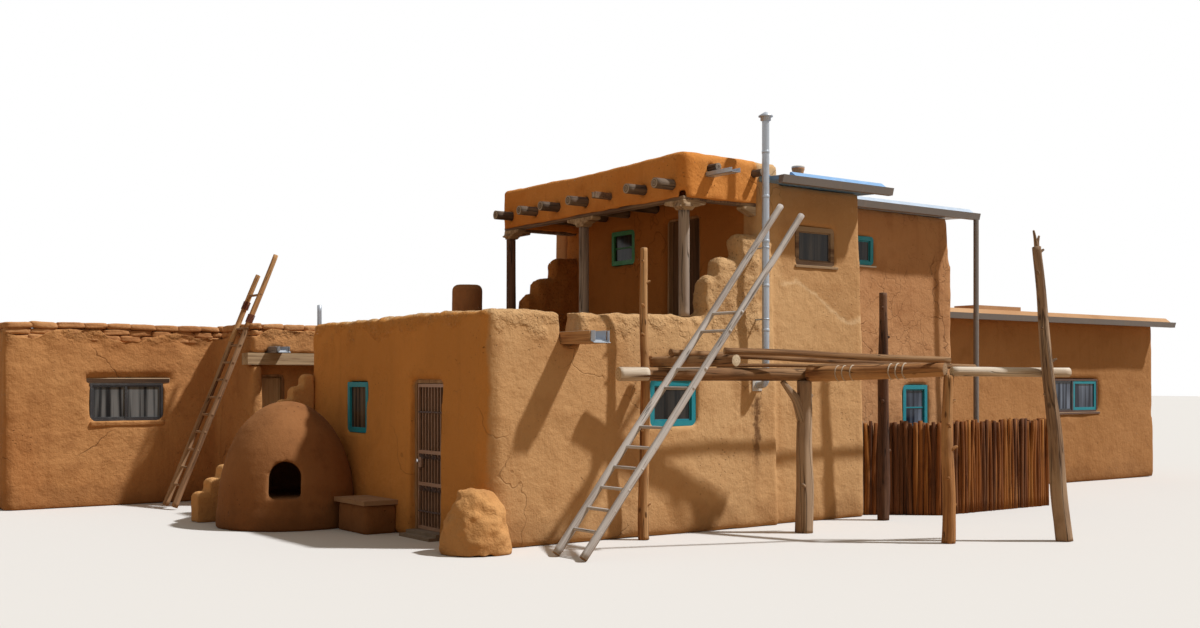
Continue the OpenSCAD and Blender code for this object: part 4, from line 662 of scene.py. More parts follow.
def log_rings(bm, pts, side, r0, r1, seed, sides, rough):
    """Uneven rings of vertices along a line, each with its distance along and direction."""
    n = len(pts)
    rings, length = [], 0.0
    angles = [2 * math.pi * i / sides for i in range(sides)]
    phase = np.random.default_rng(seed).uniform(0, 100)
    for k, p in enumerate(pts):
        t = (pts[min(k + 1, n - 1)] - pts[max(k - 1, 0)]).normalized()
        side = (side - t * side.dot(t)).normalized()
        up = t.cross(side)
        if k:
            length += (pts[k] - pts[k - 1]).length
        r = r0 + (r1 - r0) * (k / (n - 1))
        ring = np.array([[math.cos(a) * 1.3, math.sin(a) * 1.3, length * 1.1] for a in angles])
        ring += phase
        uneven = 0.7 * lump(ring, 0.9, seed) + 0.5 * lump(ring * (1, 1, 0.35), 0.33, seed + 3)
        row = [bm.verts.new(p + (side * math.cos(a) + up * math.sin(a)) * (r * w))
               for a, w in zip(angles, 1 + rough * uneven)]
        rings.append((row, length, t))
    return rings


def log_mesh(bm, path, r0, r1, seed=0, sides=16, step=0.09, rough=0.06, wobble=0.0,
             slot=0, end_slot=None):
    """Adds one uneven log along a path, with ringed ends and UV round and along it."""
    uv = bm.loops.layers.uv.verify()
    pts = curve_points(path, step)
    side = (pts[1] - pts[0]).normalized().orthogonal().normalized()
    if wobble:
        pts = wobbled(pts, wobble, seed)
    rings = log_rings(bm, pts, side, r0, r1, seed, sides, rough)
    for (ra, la, _), (rb, lb, _) in zip(rings, rings[1:]):
        for i in range(sides):
            j = (i + 1) % sides
            face = bm.faces.new((ra[i], ra[j], rb[j], rb[i]))
            face.material_index = slot
            face.smooth = True
            for loop, (u, v) in zip(face.loops, ((i, la), (i + 1, la), (i + 1, lb), (i, lb))):
                loop[uv].uv = (u / sides * 0.5 + seed * 0.13, v + seed * 0.7)
    for row, end in ((rings[0], -1), (rings[-1], 1)):
        log_end(bm, uv, row, end, seed, slot if end_slot is None else end_slot)


def log_end(bm, uv, row, end, seed, slot):
    """Closes a log with a slightly domed end."""
    ring, _, t = row
    sides = len(ring)
    mid = sum((v.co for v in ring), Vector()) / sides
    out = t * end
    inner = [bm.verts.new(mid + (v.co - mid) * 0.55 + out * 0.005) for v in ring]
    centre = bm.verts.new(mid + out * 0.006)
    for i in range(sides):
        j = (i + 1) % sides
        quad = (ring[i], ring[j], inner[j], inner[i])
        tri = (inner[i], inner[j], centre)
        for vs in (quad, tri) if end == 1 else (quad[::-1], tri[::-1]):
            face = bm.faces.new(vs)
            face.material_index = slot
            face.smooth = False
            for loop in face.loops:
                loop[uv].uv = ((loop.vert.co - mid).length * 6.0, seed * 0.37)


def log_from(bm, points, seed, **how):
    """A log in the place of a log-shaped CAD solid."""
    (a, ra), (b, rb) = log_line(points)
    log_mesh(bm, [a, b], ra, rb, seed, **how)


def finish_bm(bm, name, mats, body="house", replaced=(), smooth=False):
    """Turns what was built into a piece, held inside the CAD box."""
    bmesh.ops.recalc_face_normals(bm, faces=bm.faces)
    me = bpy.data.meshes.new(name)
    bm.to_mesh(me)
    bm.free()
    set_coords(me, coords(me))
    keep(name, me, mats, body, replaced, smooth)


def box_mesh(bm, lo, hi, bevel=0.004, slot=0, jitter=0.0, seed=0, turn=None, segments=2):
    """Adds one box with eased edges, its corners moved a little by jitter."""
    rng = np.random.default_rng(seed)
    lo, hi = Vector(lo), Vector(hi)
    size, c = hi - lo, (lo + hi) / 2
    vs = bmesh.ops.create_cube(bm, size=1.0)["verts"]
    for v in vs:
        v.co = Vector(v.co * size)
        if jitter:
            v.co += Vector(rng.uniform(-jitter, jitter, 3))
        if turn is not None:
            v.co = turn @ v.co
        v.co += c
    faces = list(dict.fromkeys(f for v in vs for f in v.link_faces))
    for f in faces:
        f.material_index = slot
    if bevel:
        edges = list(dict.fromkeys(e for f in faces for e in f.edges))
        bmesh.ops.bevel(bm, geom=edges, offset=bevel, segments=segments, profile=0.5,
                        affect="EDGES", clamp_overlap=True)


def dress(node, mat, bevel):
    """A CAD node keeps its shape, with eased edges and a material."""
    o = nodes[node]
    if o.data.materials:
        for i in range(len(o.data.materials)):
            o.data.materials[i] = mat
    else:
        o.data.materials.append(mat)
    if bevel:
        b = o.modifiers.new("eased", "BEVEL")
        b.width = bevel
        b.segments = 2
        b.limit_method = "ANGLE"
        b.angle_limit = math.radians(35)


def revolve(bm, centre, profile, sides=32, slot=0):
    """Adds a turned form: profile is a list of (radius, height) from below to above."""
    rows = []
    for r, z in profile:
        rows.append([bm.verts.new(Vector(centre) + Vector((
            r * math.cos(2 * math.pi * i / sides), r * math.sin(2 * math.pi * i / sides), z)))
            for i in range(sides)])
    for a, b in zip(rows, rows[1:]):
        for i in range(sides):
            j = (i + 1) % sides
            f = bm.faces.new((a[i], a[j], b[j], b[i]))
            f.material_index = slot
            f.smooth = True
    for row in (rows[0][::-1], rows[-1]):
        bm.faces.new(row).material_index = slot


# Places worked out from the frame, in metres
room_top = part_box("north_wall")[1][2]
tower_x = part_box("portal_back_wall")[0][0]
tower_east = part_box("tower_front_wall")[1][0]
left_front = Vector(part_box("left_front_wall")[0])
annex_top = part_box("left_front_wall")[1][2]
annex_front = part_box("annex_front_top")[0][1]
annex_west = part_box("annex_west_wall")[0][0]
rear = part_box("annex_back_walls")[1][1]
alcove_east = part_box("alcove_wall")[0][0]
left_glass = solids_of("window_glass")[0]
left_window = (left_glass.min(0), left_glass.max(0))

# How far a wall leans in for each metre of height, and sizes of small things in metres
lean = 0.020
into_band = 0.02
board, drain_board, sheet = 0.030, 0.018, 0.004
roof_slope, seam_step = 0.045, 0.42
seam_outline = ((-0.010, -0.004), (-0.006, 0.022), (0.006, 0.022), (0.010, -0.004))
pipe_r, pipe_joints = 0.050, (0.14, 0.75, 1.36, 1.97, 2.58, 3.19)
sill_out = 0.085
brick_deep, course_rise = 0.20, 0.100
board_joint, board_cover = 0.0015, 0.006
scroll_r = 0.036
# Heights on the barred door, as shares of it
scroll_rows, cross_bars, lock_height = (0.30, 0.52), (0.12, 0.80), 0.46
rail_r, rung_r, rung_step, rungs = 0.050, 0.020, 0.3, 12
tied_at = (0.28, 0.33, 0.38, 0.66, 0.72, 0.77)
fence_rails = (0.38, 1.06)
# The fence's corners, east and north of the tower's south-east foot
fence_corners = ((0.02, 0.33), (0.44, 0.10), (0.98, -0.44), (3.64, -0.4016), (3.60, 0.29))


# Masonry
def rough_parapet(p, n, q):
    """Pits and lumps along the front room's parapet and on the steps."""
    k = np.clip((p[:, 2] - room_top + 0.24) / 0.16, 0, 1) * (p[:, 0] < tower_x + 0.20)
    k = k * (p[:, 1] < annex_front - 1.0) * ((p[:, 0] < tower_x - 0.03) | (p[:, 1] < corner.y + 0.5))
    d = 0.020 * lump(p, 0.17, 31) + 0.013 * lump(p, 0.085, 32)
    d -= 0.045 * np.clip(lump(p, 0.2, 33) - 0.35, 0, 1)
    return q + n * (d * k)[:, None]


def worn_foot(p, n, q):
    """Uneven ground line and the parapet's roughness."""
    k = np.clip((0.35 - p[:, 2]) / 0.35, 0, 1)
    d = 0.022 * lump(p, 0.3, 41) * k
    return rough_parapet(p, n, q + n * d[:, None])


def eroded_top(p, n, q):
    """The ragged upper edge of the left block and the annex, below the bricks."""
    wide = lump(p * (1, 1, 0), 0.75, 51)
    near = np.clip((p[:, 0] - annex_west + 1.3) / 0.8, 0, 1) * (p[:, 1] > left_front.y - 0.3)
    bare = np.clip(wide * 1.3 + 0.15 + 0.45 * near, 0, 1)
    edge = annex_top - 0.11 - 0.20 * bare + 0.03 * lump(p, 0.12, 52)
    over = np.clip(q[:, 2] - edge, 0, 1)
    q = q.copy()
    q[:, 2] -= over * 0.95
    q = window_groove(p, q)
    high_up = np.clip((p[:, 2] - annex_top + 0.62) / 0.3, 0, 1)
    d = 0.016 * lump(p, 0.16, 53) + 0.010 * lump(p, 0.08, 54)
    d -= 0.04 * np.clip(lump(p, 0.26, 55) - 0.25, 0, 1)
    return q + n * (d * high_up)[:, None]


def window_groove(p, q):
    """The soft hollow over the left block's window, wider than the window itself."""
    lo, hi = left_window
    along = np.clip(np.minimum(p[:, 0] - lo[0] + 0.14, hi[0] + 0.20 - p[:, 0]) / 0.08, 0, 1)
    z0, z1 = hi[2] + 0.02, hi[2] + 0.17
    rise = np.clip(np.minimum(p[:, 2] - z0 + 0.05, z1 - p[:, 2] + 0.05) / 0.09, 0, 1)
    face = p[:, 1] < lo[1] + 0.05
    q = q.copy()
    q[:, 1] += 0.085 * along * rise * face
    return q


def cube_skin(n):
    """Points and faces of a cube's skin with n squares along each edge."""
    index, pts, faces = {}, [], []
    for axis in range(3):
        for side in (0, n):
            for i in range(n):
                for j in range(n):
                    quad = []
                    for di, dj in ((0, 0), (1, 0), (1, 1), (0, 1)):
                        key = [0, 0, 0]
                        key[axis] = side
                        key[(axis + 1) % 3] = i + di
                        key[(axis + 2) % 3] = j + dj
                        key = tuple(key)
                        if key not in index:
                            index[key] = len(pts)
                            pts.append([v / n * 2 - 1 for v in key])
                        quad.append(index[key])
                    faces.append(quad if side else quad[::-1])
    return np.array(pts), faces


skin_points, skin_faces = cube_skin(5)


def brick(bm, centre, along, size, rng):
    """One sun-dried brick: a worn, rounded loaf."""
    across = Vector((0, 0, 1)).cross(along)
    pts = skin_points
    norm = (np.abs(pts) ** 6).sum(1) ** (1 / 6)
    pts = pts / norm[:, None] * 0.5
    pts = pts * (1 + 0.13 * lump(pts + rng.uniform(0, 30), 0.33))[:, None]
    tilt = rng.uniform(-0.02, 0.02)
    verts = [bm.verts.new(centre + along * (c[0] * size[0]) + across * (c[1] * size[1])
                          + Vector((0, 0, c[2] * size[2] + c[0] * tilt))) for c in pts]
    for face in skin_faces:
        bm.faces.new([verts[i] for i in face]).smooth = True


def brick_row(bm, a, b, inward, z, seed, out=0.0, gap=0.0):
    """A row of worn bricks from a to b, its outer face pushed out a little."""
    rng = np.random.default_rng(seed)
    a, b, inward = Vector(a), Vector(b), Vector(inward)
    along = (b - a).normalized()
    length = (b - a).length
    s = 0.0
    while s < length - 0.15:
        long = min(rng.uniform(0.31, 0.43), length - s)
        if rng.random() >= gap:
            centre = a + along * (s + long / 2)
            centre += inward * (brick_deep / 2 - out + rng.uniform(-0.010, 0.012))
            centre.z = z + 0.020 * float(lump(np.array([centre[:]]), 1.6, 3)[0])
            size = (long + 0.012, brick_deep, rng.uniform(0.092, 0.106))
            brick(bm, centre, along, size, rng)
        s += long


def parapet_bricks():
    """Courses of bare bricks: the top one all along, lower ones where the plaster is gone."""
    bm = bmesh.new()
    inset = lean * annex_top
    west, south = left_front.x + inset, left_front.y + inset
    inner_west, front = annex_west + inset, annex_front + inset
    back, east = rear - inset, tower_x - 0.1
    sides = (
        ((west, south), (annex_west + 0.30, south), (0, 1, 0)),
        ((west, south + 0.2), (west, back), (1, 0, 0)),
        ((inner_west, front), (inner_west, south), (1, 0, 0)),
        ((inner_west + 0.2, front), (alcove_east + 0.1, front), (0, 1, 0)),
        ((west + 0.2, back), (east, back), (0, -1, 0)))
    for k, (a, b, inward) in enumerate(sides):
        step = Vector(inward) * brick_deep
        for course, out in enumerate((0.012, -0.010, -0.012)):
            z = annex_top - 0.052 - course_rise * course
            brick_row(bm, (*a, 0), (*b, 0), inward, z, 10 * k + course, out)
        brick_row(bm, Vector((*a, 0)) + step, Vector((*b, 0)) + step, inward, annex_top - 0.056,
                  10 * k + 5, 0.0, 0.06)
    finish_bm(bm, "parapet_bricks", m_brick)


def dome_finish(p, n, q):
    """The oven's smooth coat with a slight plinth."""
    k = np.clip((0.30 - p[:, 2]) / 0.12, 0, 1)
    return q + n * (0.018 * k)[:, None]


def stony_mound(p, n, q):
    """Lumps and stones on the mound at the front corner, rounder loaves on the steps."""
    near = (p[:, 0] > corner.x - 0.75) & (p[:, 1] < corner.y + 0.8)
    d = 0.030 * lump(p, 0.16, 61) + 0.020 * lump(p, 0.08, 62)
    d += 0.03 * np.clip(lump(p, 0.11, 63) - 0.3, 0, 1)
    return q + n * (np.where(near, d, 0.007 * lump(p, 0.22, 64)))[:, None]


def masonry():
    """Every earth wall and block, each as one plastered mass."""
    plastered("house_walls", [
        "front_wall", "west_wall_south", "west_wall_north", "west_wall_lintel", "north_wall",
        "tower_front_wall", "tower_side_wall", "portal_back_wall", "stepped_wall_north"],
        0.045, m_house, 0.020, 0.006, 3, 1, worn_foot)
    plastered("hall_walls", ["hall_front_wall", "hall_east_wall", "rear_wall"],
              0.060, m_hall, 0.018, 0.006, 2, 5)
    plastered("wing_walls", ["wing_front_wall", "wing_back_walls"],
              0.065, m_wing, 0.016, 0.006, 2, 9)
    plastered("annex_walls", [
        "annex_front_left", "annex_front_right", "annex_front_top", "annex_west_wall",
        "annex_back_walls", "alcove_wall", "left_front_wall"],
        0.052, m_left, 0.022, 0.007, 2, 13, eroded_top)
    plastered("band_plaster", ["portal_band"], 0.027, m_band, 0.022, 0.009, 4, 17)
    plastered("oven_dome", ["oven"], 0.030, m_oven_shaded_coat, 0.014, 0.004, 4, 21, dome_finish)
    plastered("buttress_and_mound", ["buttresses"], 0.026, m_mound, 0.014, 0.006, 5, 25, stony_mound)
    plastered("bench_base", ["bench"], 0.024, m_oven_shaded_coat, 0.012, 0.006, 5, 29)
    plastered("chimney_stack", ["chimney"], 0.024, m_band_dark, 0.010, 0.005, 4, 33)
    dress("decks", m_floor_earth, 0)
    dress("ground_floors", m_floor_earth, 0)
    dress("bench_slab", m_slab, 0.015)
    dress("thresholds", m_stone, 0.012)
    parapet_bricks()


# Portal timber
def log_ends():
    """The roof beams of the portal, grey logs with dark weathered ends."""
    bm = bmesh.new()
    for k, points in enumerate(solids_of("vigas")):
        log_from(bm, points, 70 + k, sides=20, step=0.07, rough=0.07, end_slot=1)
    finish_bm(bm, "roof_logs", [m_grey_log, m_end_dark], replaced=["vigas"])


def portal_beams():
    """The squared beam over the posts and its two arms back to the tower."""
    lo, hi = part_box("portal_beams")
    wide = hi[2] - lo[2] + into_band
    hi = Vector((hi[0], hi[1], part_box("portal_band")[0][2] + into_band))
    x = lo[0] + wide
    bm = bmesh.new()
    box_mesh(bm, lo, (x, hi[1], hi[2]), 0.014, 0, 0.003, 1)
    box_mesh(bm, (x, lo[1], lo[2]), (hi[0], lo[1] + wide, hi[2]), 0.014, 0, 0.002, 2)
    box_mesh(bm, (x, hi[1] - wide, lo[2]), hi, 0.014, 0, 0.002, 3)
    finish_bm(bm, "portal_beam_timbers", m_beam, replaced=["portal_beams"])


def portal_posts():
    """Three peeled posts: two grey ones in the sun and a dark one behind, its dark wood painted
    shade.
    """
    solids = sorted(solids_of("portal_posts"), key=lambda g: g[:, 1].min())
    # the north post's dark wood is painted shade
    for k, (name, mat) in enumerate((("post_south", m_post_log), ("post_middle", m_post_log),
                                     ("post_north", m_dark_log))):
        bm = bmesh.new()
        log_from(bm, solids[k], 80 + k, sides=20, step=0.06, rough=0.08)
        finish_bm(bm, name, [mat, m_end], replaced=["portal_posts"])


def portal():
    """The open room on the roof: logs, posts, beams, corbels and its ceiling."""
    log_ends()
    portal_posts()
    portal_beams()
    plastered("corbels", ["portal_corbels"], 0.011, m_corbel, 0.003, 0.004, 3, 37)
    dress("portal_roof", m_dark_plank, 0)


def board_trough(name, points, wood):
    """A trough of three boards with a bent metal liner, flared where it spills."""
    lo, hi = points.min(0), points.max(0)
    x0, x1, z = lo[0] + board, hi[0] - board, lo[2] + board
    bm = bmesh.new()
    box_mesh(bm, lo, (hi[0], hi[1], z), 0.005, 0, 0.004, 1)
    box_mesh(bm, (lo[0], lo[1], z), (x0, hi[1], hi[2]), 0.006, 0, 0.004, 2)
    box_mesh(bm, (x1, lo[1], z), hi, 0.006, 0, 0.004, 3)
    for a, b, top in ((x0, x1, z), (x0, x0 + sheet, hi[2]), (x1 - sheet, x1, hi[2])):
        box_mesh(bm, (a, lo[1] + 0.01, z), (b, hi[1], top + sheet), 0, 1)
    y0, y1 = lo[1] - 0.075, lo[1] + 0.015
    box_mesh(bm, (x0 - 0.012, y0, z - 0.012), (x1 + 0.012, y1, z - 0.008), 0, 1,
             turn=Matrix.Rotation(math.radians(24), 3, "X"))
    for x, angle in ((x0, 14), (x1, -14)):
        box_mesh(bm, (x - 0.002, lo[1] - 0.07, z - 0.01), (x + 0.002, y1, hi[2]), 0, 1,
                 turn=Matrix.Rotation(math.radians(angle), 3, "Z"))
    finish_bm(bm, name, [wood, m_galv], replaced=["canales"])


def portal_drains(square, metal):
    """The square drain of boards, open above, and the bent metal one."""
    bm = bmesh.new()
    lo, hi = square.min(0), square.max(0)
    z = lo[2] + drain_board
    box_mesh(bm, lo, (hi[0], hi[1], z), 0.004, 0, 0.003, 4)
    box_mesh(bm, (lo[0], lo[1], z), (hi[0], lo[1] + drain_board, hi[2]), 0.004, 0, 0.003, 5)
    box_mesh(bm, (lo[0], hi[1] - drain_board, z), hi, 0.004, 0, 0.003, 6)
    lo, hi = metal.min(0), metal.max(0)
    box_mesh(bm, lo, (hi[0], hi[1], lo[2] + sheet), 0, 1)
    box_mesh(bm, lo, (lo[0] + sheet, hi[1], hi[2]), 0, 1)
    box_mesh(bm, (hi[0] - sheet, lo[1], lo[2]), hi, 0, 1)
    finish_bm(bm, "portal_drains", [m_beam, m_galv], replaced=["canales"])


def troughs():
    """What the flat roofs drain through."""
    annex, front, square, metal = solids_of("canales")[:4]
    board_trough("front_canale", front, m_plank_y)
    board_trough("annex_canale", annex, m_gutter)
    portal_drains(square, metal)


# Roofs and metalwork
def seams(node, name, mat):
    """Standing seams that run up a shed roof."""
    pts = coords(nodes[node].data)
    lo, hi = pts.min(0), pts.max(0)
    top_back = pts[np.abs(pts[:, 1] - hi[1]) < 0.01][:, 2].max()
    count = max(3, int((hi[0] - lo[0]) / seam_step))
    bm = bmesh.new()
    for k in range(count + 1):
        x = lo[0] + 0.02 + (hi[0] - lo[0] - 0.04) * k / count
        a, b = [[bm.verts.new((x + dx, y, top_back - (hi[1] - y) * roof_slope + dz))
                 for dx, dz in seam_outline] for y in (lo[1] + 0.20, hi[1] - 0.01)]
        for i in range(4):
            j = (i + 1) % 4
            bm.faces.new((a[i], a[j], b[j], b[i]))
        bm.faces.new(a)
        bm.faces.new(b[::-1])
    finish_bm(bm, name, mat)


def vent_pot():
    """The flared clay pot on the tower's roof, with a pale rim."""
    pts = coords(nodes["tower_roof"].data)
    top = pts[:, 2].max()
    ring = pts[pts[:, 2] > top - 0.01]
    x, y, _ = ring.mean(0)
    base = top - 0.36
    bm = bmesh.new()
    revolve(bm, (x, y, 0), [
        (0.100, base), (0.100, base + 0.05), (0.083, base + 0.07), (0.080, top - 0.16),
        (0.084, top - 0.09), (0.097, top - 0.05), (0.100, top - 0.028)], 28, 0)
    revolve(bm, (x, y, 0), [
        (0.098, top - 0.028), (0.101, top - 0.012), (0.094, top + 0.002), (0.050, top + 0.004)],
        28, 1)
    finish_bm(bm, "clay_vent", [m_clay, m_pale_paint])


def elbow_pipe(bm, x, y, elbow, top):
    """The pipe out of the wall and up, with a ring at each joint and a cap."""
    r = pipe_r
    bend = [(x, corner.y + 0.06, elbow), (x, y + 0.10, elbow), (x, y + 0.045, elbow + 0.008),
            (x, y + 0.008, elbow + 0.045), (x, y, elbow + 0.10), (x, y, elbow + 0.4),
            (x, y, top - 0.4), (x, y, top - 0.10)]
    log_mesh(bm, bend, r, r, 1, 28, 0.05, 0.0)
    for rise in pipe_joints:
        z = elbow + rise
        revolve(bm, (x, y, 0), [(r, z - 0.022), (r + 0.004, z - 0.018), (r + 0.004, z + 0.018),
                                (r, z + 0.022)], 28)
    revolve(bm, (x, y, 0), [
        (r - 0.002, top - 0.13), (r + 0.022, top - 0.12), (r + 0.022, top - 0.075),
        (r + 0.050, top - 0.070), (r + 0.050, top - 0.055), (0.012, top - 0.002)], 28)


def pipe_fittings(bm, x, y, elbow):
    """The plate where the pipe leaves the wall, and two straps back to the parapet."""
    r = pipe_r
    box_mesh(bm, (x - 0.085, corner.y + 0.012, elbow - 0.085),
             (x + 0.085, corner.y + 0.052, elbow + 0.085), 0.006, 1)
    for z in (room_top - 0.01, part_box("front_wall")[1][2] - 0.19):
        box_mesh(bm, (x - 0.010, y, z - 0.020), (x + 0.010, corner.y + 0.22, z), 0.002, 0)
        revolve(bm, (x, y, 0), [(r, z - 0.020), (r + 0.006, z - 0.018), (r + 0.006, z - 0.002),
                                (r, z)], 28)


def stovepipe():
    """The galvanised pipe on the front wall and the short one on the annex's roof."""
    solids = sorted(solids_of("stovepipe"), key=lambda g: g[:, 0].mean())
    roof_pipe, flue = solids[0], solids[-1]
    top = flue[:, 2].max()
    upright_part = flue[flue[:, 2] > top - 0.05]
    x, y = upright_part[:, 0].mean(), upright_part[:, 1].mean()
    elbow = flue[:, 2].min() + 0.08
    bm = bmesh.new()
    elbow_pipe(bm, x, y, elbow, top)
    pipe_fittings(bm, x, y, elbow)
    (a, ra), (b, rb) = log_line(roof_pipe)
    log_mesh(bm, [a, b], ra, rb, 2, 24, 0.1, 0.0)
    finish_bm(bm, "flue_pipe", [m_galv, m_pale_paint], replaced=["stovepipe"])


def metalwork():
    """Sheet roofs, gutters and pipes."""
    dress("tower_roof", m_sheet, 0.004)
    dress("hall_roof", m_sheet_pale, 0.004)
    dress("wing_roof", m_tan_roof, 0.010)
    dress("gutters", m_gutter, 0)
    seams("hall_roof", "hall_roof_seams", m_sheet_pale)
    seams("tower_roof", "tower_roof_seams", m_sheet)
    vent_pot()
    stovepipe()


# Windows
def windows():
    """Frames, panes, bars, sills and lintels."""
    dress("blue_window_frames", m_turquoise, 0.006)
    dress("green_window_frame", m_green, 0.006)
    dress("tower_window_frame", m_grey_frame, 0.006)
    dress("wing_window_frame", m_brown_frame, 0.004)
    dress("left_window_frame", m_dark_frame, 0.004)
    panes = [(g.min(0), g.max(0)) for g in solids_of("window_glass")]
    kinds = [m_glass_grey, m_glass_west, m_glass, m_glass, m_glass_dim, m_glass,
             m_glass_blue, m_glass_blue]
    slots = [m_glass, m_glass_west, m_glass_grey, m_glass_blue, m_glass_dim]
    bm = bmesh.new()
    for (lo, hi), kind in zip(panes, kinds):
        box_mesh(bm, lo, hi, 0.001, slots.index(kind))
    finish_bm(bm, "window_panes", slots, replaced=["window_glass"])
    window_bars(panes)
    sills(panes)


def upright(bm, pane_box, share, w, slot, out):
    """An upright bar across a pane, at a share of its width."""
    lo, hi = pane_box
    x = lo[0] + (hi[0] - lo[0]) * share
    box_mesh(bm, (x - w / 2, lo[1] - out, lo[2]), (x + w / 2, hi[1] + 0.004, hi[2]), 0.003, slot)


def border(bm, pane_box, w, slot, out, part=(0.0, 1.0)):
    """Four bars round a pane or round a part of its width."""
    lo, hi = pane_box
    x0, x1 = (lo[0] + (hi[0] - lo[0]) * share for share in part)
    y0, y1 = lo[1] - out, hi[1]
    for a, b in (((x0, lo[2]), (x0 + w, hi[2])), ((x1 - w, lo[2]), (x1, hi[2])),
                 ((x0 + w, lo[2]), (x1 - w, lo[2] + w)), ((x0 + w, hi[2] - w), (x1 - w, hi[2]))):
        box_mesh(bm, (a[0], y0, a[1]), (b[0], y1, b[1]), 0.002, slot)


def window_bars(panes):
    """The bars and sliding frames inside the painted frames."""
    left, _, south, green, tower, hall_up, hall_low, wing = panes
    dark, blue, grey, green_slot = range(4)
    bm = bmesh.new()
    border(bm, left, 0.028, dark, 0.012, (0.0, 0.50))
    border(bm, left, 0.022, dark, 0.020, (0.48, 1.0))
    upright(bm, left, 0.487, 0.034, dark, 0.024)
    border(bm, wing, 0.035, dark, 0.012, (0.0, 0.46))
    border(bm, wing, 0.060, blue, 0.022, (0.48, 1.0))
    upright(bm, wing, 0.47, 0.045, dark, 0.024)
    border(bm, tower, 0.018, grey, 0.010)
    border(bm, south, 0.022, blue, 0.008)
    border(bm, hall_up, 0.020, blue, 0.008)
    border(bm, hall_low, 0.022, blue, 0.008)
    lo, hi = hall_low
    mid = (lo[2] + hi[2]) / 2
    box_mesh(bm, (lo[0], lo[1] - 0.010, mid - 0.014), (hi[0], hi[1], mid + 0.014), 0.003, blue)
    lo, hi = green
    mid = (lo[2] + hi[2]) / 2
    box_mesh(bm, (lo[0] - 0.010, lo[1], mid - 0.012), (hi[0], hi[1], mid + 0.012), 0.003, green_slot)
    finish_bm(bm, "window_bars", [m_dark_frame, m_turquoise, m_grey_frame, m_green])


def sills(panes):
    """Sills below the openings and the timber lintel over the left block's window."""
    left, _, _, _, tower, hall_up, _, wing = panes
    bm = bmesh.new()
    # each sill's reach to the sides, its foot and top below the pane, its edge and wood
    for k, (pane_box, side, foot, top, edge, jitter) in enumerate((
            (tower, 0.11, 0.105, 0.070, 0.006, 0.004), (hall_up, 0.09, 0.105, 0.070, 0.006, 0.003),
            (wing, 0.05, 0.080, 0.035, 0.008, 0.004))):
        lo, hi = pane_box
        box_mesh(bm, (lo[0] - side, lo[1] - sill_out, lo[2] - foot),
                 (hi[0] + side, hi[1], lo[2] - top), edge, k, jitter, k + 1)
    # the lintel in the groove over the left window; its dark wood is partly painted shade
    lo, hi = left
    box_mesh(bm, (lo[0] - 0.10, lo[1] + 0.004, hi[2] + 0.034),
             (hi[0] + 0.16, hi[1] + 0.1, hi[2] + 0.118), 0.010, 3, 0.004, 4)
    finish_bm(bm, "sills_and_lintel", [m_pale_frame, m_pale_paint, m_brown_frame, m_lintel_shaded])
    bm = bmesh.new()
    box_mesh(bm, (lo[0] - 0.05, lo[1] - 0.10, lo[2] - 0.13), (hi[0] + 0.05, hi[1], lo[2] - 0.034),
             0.030, 0, 0.010, 5, segments=4)
    finish_bm(bm, "left_sill", m_left, smooth=True)


# Doors
def spiral(bm, centre, r, hand, seed):
    """A flat iron scroll that curls in on itself, in a plane facing west."""
    path = []
    for i in range(15):
        t = i / 14
        a = hand * t * 3.2 * math.pi + math.pi / 2
        s = r * (1 - 0.72 * t)
        path.append(centre + Vector((0, math.cos(a) * s, math.sin(a) * s)))
    log_mesh(bm, path, 0.0045, 0.0045, seed, 8, 0.014, 0.0)


def door_ironwork():
    """Scrolls, cross bars and the lock of the barred door; they swing with it."""
    lo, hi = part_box("barred_door")
    x, wide, tall = lo[0] + 0.010, hi[1] - lo[1], hi[2] - lo[2]
    bm = bmesh.new()
    for share in scroll_rows:
        z = lo[2] + tall * share
        for k in range(8):
            y = lo[1] + wide * (0.115 + 0.110 * k)
            spiral(bm, Vector((x, y, z - 0.040)), scroll_r, 1 if k % 2 else -1, k)
    for share in cross_bars:
        z = lo[2] + tall * share
        box_mesh(bm, (x - 0.006, lo[1] + 0.03, z), (x + 0.002, hi[1] - 0.03, z + 0.022), 0.002, 0)
    y, z = hi[1] - 0.075, lo[2] + tall * lock_height
    box_mesh(bm, (x - 0.012, y - 0.045, z - 0.07), (x + 0.02, y + 0.035, z + 0.07), 0.004, 1)
    log_mesh(bm, [(x - 0.050, y, z + 0.02), (x - 0.010, y, z + 0.02)], 0.024, 0.012, 5, 16, 0.01, 0.0,
             slot=2)
    finish_bm(bm, "door_ironwork", [m_rusty, m_steel_tan, m_chrome], body="barred_door")


def planks(node, name, mat, body, count, axis):
    """Boards with open joints on a door's outer side, side by side along one axis."""
    pts = coords(nodes[node].data)
    lo, hi = pts.min(0), pts.max(0)
    leaf = pts[(pts[:, 2] > hi[2] - 0.01)]
    lo[:2], hi[:2] = leaf.min(0)[:2], leaf.max(0)[:2]
    bm = bmesh.new()
    step = (hi[axis] - lo[axis]) / count
    flat = 1 - axis
    for k in range(count):
        a, b = lo.copy(), hi.copy()
        a[axis] = lo[axis] + step * k + board_joint
        b[axis] = lo[axis] + step * (k + 1) - board_joint
        a[flat] = lo[flat] - board_cover
        b[flat] = lo[flat]
        a[2] += 0.004
        b[2] -= 0.004
        box_mesh(bm, a, b, 0.002, 0, 0.0006, k)
    finish_bm(bm, name, mat, body=body)


def doors():
    """Door leaves, frames and the board over the nook."""
    dress("barred_door", m_steel_tan, 0.003)
    dress("inner_door", m_dark_plank, 0.003)
    dress("annex_door", m_door_wood, 0.003)
    dress("upper_door", m_dark_plank, 0.003)
    dress("door_frames", m_plank_z, 0.004)
    dress("nook_board", m_plank_x, 0.014)
    door_ironwork()
    planks("annex_door", "annex_door_boards", m_door_wood, "annex_door", 3, 0)
    planks("inner_door", "inner_door_boards", m_dark_plank, "inner_door", 5, 1)
    planks("upper_door", "upper_door_boards", m_dark_plank, "house", 5, 1)


